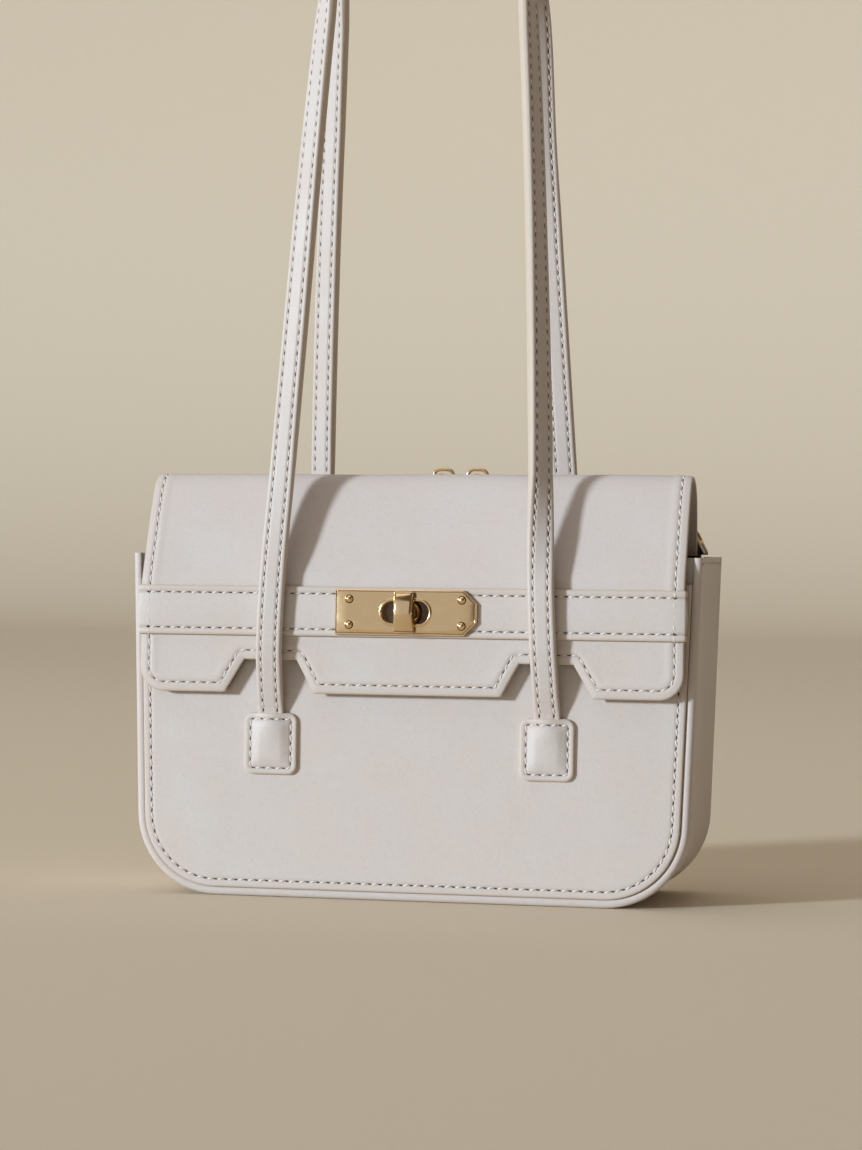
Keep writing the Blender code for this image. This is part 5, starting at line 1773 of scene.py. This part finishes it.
@dataclass
class StrapTab:
    """Stitched tab over the end of a strap: a rounded rectangle, raised over the strap."""

    finishes: Finishes
    half_width: float = 10.5 * MM
    low: float = 47.2 * MM
    high: float = 71.0 * MM
    radius: float = 3.6 * MM
    seam_inset: float = 2.5 * MM
    base_rise: float = 1.7 * MM
    pillow_rise: float = 0.85 * MM
    strap_rise: float = 1.5 * MM
    flat_rim: float = 2.2 * MM
    pillow_slope: float = 4.6 * MM
    strap_slope: float = 8.6 * MM
    strap_start: float = 49.0 * MM
    strap_full: float = 59.0 * MM
    channel_depth: float = 0.35 * MM
    edge_radius: float = 0.8 * MM
    row_steps: tuple[float, ...] = (
        0, 0.15, 0.4, 0.8, 1.3, 1.8, 2.2, 2.5, 2.8, 3.2, 4.0, 5.2, 7.0, 9.2)

    def distance(self, x: Array, up: Array) -> Array:
        """Distance inside the rounded rectangle, positive inside."""
        qx = np.abs(x) - (self.half_width - self.radius)
        qz = np.abs(up - (self.low + self.high) / 2) - ((self.high - self.low) / 2 - self.radius)
        outside = np.hypot(np.maximum(qx, 0), np.maximum(qz, 0))
        return self.radius - outside - np.minimum(np.maximum(qx, qz), 0)

    def rise(self, x: Array, up: Array) -> Array:
        """Height: sewn edge, channel, soft pillow and the strap's end under it.

        Pillow and strap are products of an ease across and an ease along the tab.
        """
        d = self.distance(x, up)
        in_side = self.half_width - self.flat_rim - np.abs(x)
        in_end = np.minimum(up - self.low, self.high - up) - self.flat_rim
        pillow = ease(in_side / self.pillow_slope) * ease(in_end / self.pillow_slope)
        strap = ease((in_side + 0.6 * MM) / self.strap_slope)
        strap = strap * ease((up - self.strap_start) / (14 * MM))
        strap = strap * (0.4 + 0.6 * ease((up - self.strap_full) / (9 * MM)))
        height = self.base_rise + self.pillow_rise * pillow + self.strap_rise * strap
        height = height - self.channel_depth * groove(d, self.seam_inset)
        height = height - edge_drop(d, self.edge_radius)
        return height + 0.1 * MM * ripple(x, up, 14 * MM, 0.8)

    def build(self, side: Side, hand: Hand, seams: StitchRow) -> None:
        """Make one tab and sew round it.

        Columns run from the lower to the upper edge of the rounded rectangle; the
        rows between share the same spread from edge to edge.
        """
        straight, centre = self.half_width - self.radius, hand.value * TAB_X
        round_off = self.radius * np.sin(np.linspace(0, math.pi / 2, 13))
        x = mirrored(np.append(np.linspace(0, straight, 13)[:-1], straight + round_off))
        cut = edge_drop(self.half_width - np.abs(x), self.radius)
        steps = np.array(self.row_steps) / (self.high - self.low) * MM
        v = np.concatenate([steps, [0.45, 0.5, 0.55], 1 - steps[::-1]])[:, None]
        up = self.low + cut + (self.high - self.low - 2 * cut) * v
        x = np.broadcast_to(x, up.shape)
        d = self.distance(x, up)
        shape = Shape()
        # painted shade along the seam channel
        shape.add_slab(side.points(centre + x, self.rise(x, up), up),
                       side.points(centre + x, 0.1 * MM, up),
                       edge=painted(d, 1.05, 1.2 * MM),
                       crease=groove(d, self.seam_inset))
        name = "%s_tab_%s" % (side.value, hand.label)
        self.finishes.settle(shape.build(name + "_skin"), Look.LEATHER, "bag_body", name)
        quarter = (np.arange(4) * math.pi / 2)[:, None] + np.linspace(0, math.pi / 2, 6)
        sx, sz = np.array([1, -1, -1, 1])[:, None], np.array([1, 1, -1, -1])[:, None]
        inner = self.radius - self.seam_inset
        middle = (self.low + self.high) / 2
        loop = join(sx * straight + inner * np.cos(quarter),
                    middle + sz * (self.high - middle - self.radius) + inner * np.sin(quarter))
        loop = loop.reshape(-1, 2)
        across, up = respaced(np.vstack([loop, loop[:1]]), 120).T
        seams.sew(side.points(centre + across, self.rise(across, up), up), side.normal())


@dataclass
class Handle:
    """Flat padded strap of one handle: up from a tab, sideways over the arch and down again.

    The knots of a leg are (x, distance in front of or behind the middle, height) in
    mm. A table of turns has pairs of height in mm and degrees, for the right and
    for the left leg.
    """

    finishes: Finishes
    half_width: float = 5.1 * MM
    half_thickness: float = 1.7 * MM
    arch_height: float = 367.0 * MM
    arch_radius: float = 38.0 * MM
    arch_y: float = 6.6 * MM
    seam_inset: float = 2.35 * MM
    seam_start: float = 12.6 * MM
    seam_sink: float = 0.36 * MM
    channel_depth: float = 0.30 * MM
    crown: float = 0.30
    tab_edge: float = 69.5 * MM
    full_start: float = 145.0 * MM
    fullness: float = 0.26
    pivot: tuple[float, float] = (2.3 * MM, 73.4 * MM)
    bend_heights: tuple[float, float] = (71.4 * MM, 78.0 * MM)
    rear_right_shift: float = 1.8 * MM
    tail: tuple = ((1.4, 59.5), (1.45, 63.0), (1.55, 67.0), (1.75, 70.4), (2.05, 72.2))
    front_turns: tuple = (((122, 0), (163, 46), (250, 61), (335, 68), (367, 78), (385, 90)),
                          ((122, 0), (163, 7), (250, 20), (341, 40), (367, 64), (381, 90)))
    rear_turns: tuple = (((250, 0), (341, -34), (367, -64), (381, -90)),
                         ((122, 0), (163, -18), (300, -22), (341, -36), (367, -64), (381, -90)))
    front_knots: tuple = (
        (53.5, 37.6, 91), (53.1, 38.9, 101), (52.3, 38.6, 120), (51.5, 35.8, 140),
        (50.5, 31.4, 163), (47.7, 23.6, 220), (44.4, 16.8, 280), (40.7, 10.8, 335))
    rear_knots: tuple = (
        (53.5, 36.6, 91), (53.1, 36.8, 108), (52.2, 36.7, 124), (51.5, 34.9, 140),
        (50.5, 30.2, 163), (47.7, 22.8, 220), (44.4, 16.4, 280), (40.7, 10.8, 335))

    def path(self, side: Side) -> tuple[Array, Array, Array]:
        """Middle line of the strap, its face direction and its thickness share.

        Each leg is a Catmull-Rom curve through the knots and the arch a half
        circle. The face looks straight out of the bag at the tabs and turns towards
        the outside of the arch by the angle that the leg's table of turns gives,
        with straight lines between its rows. The rear right leg hangs a little
        nearer to the middle.
        """
        away = np.array([1.0, -1 if side is Side.FRONT else 1, 1])
        knots, turns = ((self.front_knots, self.front_turns) if side is Side.FRONT
                        else (self.rear_knots, self.rear_turns))
        leg = np.vstack([side.points(TAB_X, *self.pivot) * away, np.array(knots) * MM,
                         [self.arch_radius, self.arch_y, self.arch_height]])
        a = np.linspace(0, math.pi / 2, 22)[1:]
        arch = join(self.arch_radius * np.cos(a), self.arch_y,
                    self.arch_height + self.arch_radius * np.sin(a))
        tail = side.points(TAB_X, *(np.array(self.tail).T * MM)) * away
        half = np.vstack([tail, smooth_line(leg, 9), arch])
        line = np.vstack([half, half[-2::-1] * np.array([-1.0, 1, 1])])
        level = line[:, 2]
        thick = 0.42 + 0.58 * ease((level - self.tab_edge) / (12 * MM))
        thick = thick + self.fullness * ease((level - self.full_start) / (40 * MM))
        right, left = (np.interp(level, np.array(t)[:, 0] * MM, np.radians(np.array(t)[:, 1]))
                       for t in turns)
        is_right = np.arange(len(level)) < len(half)
        turn = np.where(is_right, right, left)[:, None]
        if side is Side.REAR:
            hung = ease((level - 125 * MM) / (35 * MM)) * ease((345 * MM - level) / (60 * MM))
            line[:, 0] -= np.where(is_right, self.rear_right_shift * hung, 0)
        radial = unit(join(line[:, 0], 0.0, np.maximum(level - self.arch_height, 0)))
        outward = np.array([0, 1.0, 0]) * np.cos(turn) + radial * np.sin(turn)
        line, outward = line * away, outward * away
        return line, square_to(outward, unit(np.gradient(line, axis=0))), thick

    def section(self) -> tuple[Array, Array, Array, Array]:
        """Section of the strap: across, height, edge paint share and channel share round the loop.

        The face is a shallow crown with a channel near each side, and the sides are
        half ellipses where both layers are glued and painted.
        """
        w, t = self.half_width, self.half_thickness
        rim = np.array([1.0, 0.985, 0.955, 0.915])
        a = np.concatenate([-rim, np.linspace(-0.86, 0.86, 29), rim[::-1]]) * w
        d = w - np.abs(a)
        channel = groove(d, self.seam_inset)
        top = t * (1 - self.crown * np.clip(1 - d / (1.3 * MM), 0, 1) ** 2)
        top = top - self.channel_depth * channel - 0.1 * MM * (d < self.seam_inset)
        top = top * np.sqrt(np.clip(1 - np.clip(1 - d / (0.55 * MM), 0, 1) ** 2, 0.12, 1))
        paint = painted(d, 1.1, 0.85 * MM)
        return tuple(np.append(upper, lower[::-1])
                     for upper, lower in ((a, a), (top, -top), (paint, paint), (channel, channel)))

    def bend(self, obj: Object, look: Look, side: Side, *nodes: str) -> None:
        """Dress a piece, hide the nodes that it stands for and bake its place into its points."""
        self.finishes.dress(obj, look)
        if nodes:
            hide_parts(*nodes)
        low, high = side.points(0.0, self.pivot[0], np.array(self.bend_heights))
        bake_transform(obj)

    def build(self, side: Side) -> None:
        """Make the strap and its four seams."""
        line, outward, thick = self.path(side)
        width = unit(np.cross(unit(np.gradient(line, axis=0)), outward))
        across, height, paint, channel = self.section()
        name = side.value + "_handle"
        shape = Shape()
        # painted shade in the stitched channels
        shape.add_tube(line[:, None] + width[:, None] * across[:, None]
                       + outward[:, None] * height[:, None] * thick[:, None, None],
                       edge=paint, crease=channel)
        self.bend(shape.build(name + "_skin"), Look.LEATHER, side, name + "_strap")
        run = lengths_along(line)
        inside = (run > self.seam_start) & (run < run[-1] - self.seam_start)
        seams = StitchRow()
        for face in (1.0, -1.0):
            for edge in (-1.0, 1.0):
                row = line + width * (self.half_width - self.seam_inset) * edge
                row += outward * (face * (self.half_thickness - self.seam_sink) * thick)[:, None]
                seams.sew(row[inside], outward[inside] * face)
        for obj, look in seams.build(name + "_seam"):
            self.bend(obj, look, side)


# --- studio ---


@dataclass
class Studio:
    """Plain pale sweep, one key light from the upper left, soft fill and the camera."""

    lens_px: float = 3000.0
    photo_long_side: float = 1150.0
    sensor: float = 36.0
    eye: Vector = (259.68 * MM, -1144.15 * MM, 140.84 * MM)
    yaw_deg: float = 12.7223
    pitch_deg: float = -0.8157
    roll_deg: float = 0.4641
    sweep_radius: float = 0.9
    sweep_bend_y: float = 2.9
    sweep_front_y: float = -6.0
    sweep_height: float = 4.5
    sweep_half_width: float = 11.0
    room: str = "#B49C86"
    room_strength: float = 0.22

    def add_to_scene(self, data: bpy.types.ID, place: Vector, axes: tuple[Array, ...]) -> Object:
        """Put a camera or lamp at a place, with its x, y and z axes along three unit vectors."""
        obj = bpy.data.objects.new(data.name, data)
        turn = np.eye(4)
        turn[:3, :3] = np.column_stack(axes)
        turn[:3, 3] = place
        obj.matrix_world = Matrix(turn.tolist())
        bpy.context.scene.collection.objects.link(obj)
        return obj

    def build_camera(self) -> None:
        """Camera at the photograph's viewing angle, with the lens that its long side gives."""
        yaw, pitch, roll = (math.radians(v) for v in (self.yaw_deg, self.pitch_deg, self.roll_deg))
        ahead = np.array([-math.sin(yaw) * math.cos(pitch), math.cos(yaw) * math.cos(pitch),
                          math.sin(pitch)])
        right = np.array([math.cos(yaw), math.sin(yaw), 0.0])
        up = np.cross(right, ahead)
        right, up = (math.cos(roll) * right + math.sin(roll) * up,
                     -math.sin(roll) * right + math.cos(roll) * up)
        data = bpy.data.cameras.new("photo_view")
        data.sensor_width = self.sensor
        data.lens = self.lens_px * self.sensor / self.photo_long_side
        bpy.context.scene.camera = self.add_to_scene(data, self.eye, (right, up, -ahead))

    def build_sweep(self) -> None:
        """Floor that curves up into a backdrop: a line, a quarter circle and an upright line."""
        a = np.linspace(0, math.pi / 2, 25)[1:]
        r, bend = self.sweep_radius, self.sweep_bend_y
        y = np.concatenate([[self.sweep_front_y, 0.0, bend], bend + r * np.sin(a), [bend + r]])
        z = np.concatenate([[0, 0, 0], r * (1 - np.cos(a)), [self.sweep_height]]) - 0.05 * MM
        x = np.array([-1, 0, 1]) * self.sweep_half_width
        shape = Shape()
        shape.add_surface(join(x, y[:, None], z[:, None]))
        sweep = shape.build("studio_sweep", tidy=False)
        sweep.data.materials.append(PaintedBackdrop().material())

    def build_light(self) -> None:
        """Low key from the left, a pale card behind the camera, a soft top light and a dim room."""
        for name, kind, settings, place, ahead in (
            ("key_sun", "SUN",
             {"energy": 3.05, "angle": math.radians(7.5), "color": (0.82, 0.92, 1.0)},
             (-1.1, -1.3, 1.4), (0.727, 0.6545, -0.208)),
            ("front_card", "AREA",
             {"shape": "RECTANGLE", "size": 3.6, "size_y": 2.4, "energy": 11.0},
             (-1.3, -2.5, 0.9), (1.3, 2.5, -0.75)),
            ("top_soft", "AREA", {"size": 2.4, "energy": 17.0, "color": (1.0, 0.96, 0.9)},
             (-0.5, -0.1, 2.2), (0.22, 0.06, -1.0)),
        ):
            data = bpy.data.lights.new(name, kind)
            for key, value in settings.items():
                setattr(data, key, value)
            ahead = unit(np.array(ahead))
            right = unit(np.cross(ahead, np.array([0, 0, 1.0])))
            self.add_to_scene(data, place, (right, np.cross(right, ahead), -ahead))
        world = bpy.data.worlds.new("dim_room")
        world.use_nodes = True
        feed(world.node_tree, world.node_tree.nodes["Background"],
             {"Color": colour(self.room), "Strength": self.room_strength})
        bpy.context.scene.world = world

    def build(self) -> None:
        """Set up camera, sweep, light and colour view."""
        self.build_camera()
        self.build_sweep()
        self.build_light()
        bpy.context.scene.view_settings.view_transform = "Standard"


def main() -> None:
    """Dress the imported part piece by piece."""
    logging.basicConfig(level=logging.INFO, format="%(message)s")
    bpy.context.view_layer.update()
    Studio().build()
    finishes = Finishes()
    body_seams, flap_seams, band_seams = StitchRow(), StitchRow(), StitchRow()
    body = Body(finishes)
    body.build_panels(body_seams)
    body.build_gusset(body_seams)
    body.build_linings()
    finishes.dress(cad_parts["base_board"], Look.BOARD)
    finishes.dress(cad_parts["lock_back_plate"], Look.GOLD)
    top_zip = TopZip(finishes)
    top_zip.build_tapes(body_seams)
    top_zip.build_teeth()
    top_zip.build_stops()
    top_zip.build_rear_panel(body_seams)
    top_zip.build_divider(body.outline, body.lining_top)
    for hand in Hand:
        top_zip.build_slider(hand)
    tab = StrapTab(finishes)
    for side in Side:
        for hand in Hand:
            tab.build(side, hand, body_seams)
    for obj, look in body_seams.build("body_seam"):
        finishes.settle(obj, look, "bag_body")
    flap = Flap(finishes)
    flap.build_leather(flap_seams)
    flap.build_lining()
    for obj, look in flap_seams.build("flap_seam"):
        flap.bend_over_ridge(obj, look)
    flap.build_band(band_seams)
    for obj, look in band_seams.build("band_seam"):
        finishes.settle(obj, look, "flap")
    lock = TurnLock(finishes)
    lock.build_plate()
    lock.build_ferrule()
    lock.build_rivets()
    lock.build_toggle()
    lock.build_post()
    handle = Handle(finishes)
    for side in Side:
        handle.build(side)


if __name__ == "__main__":
    main()
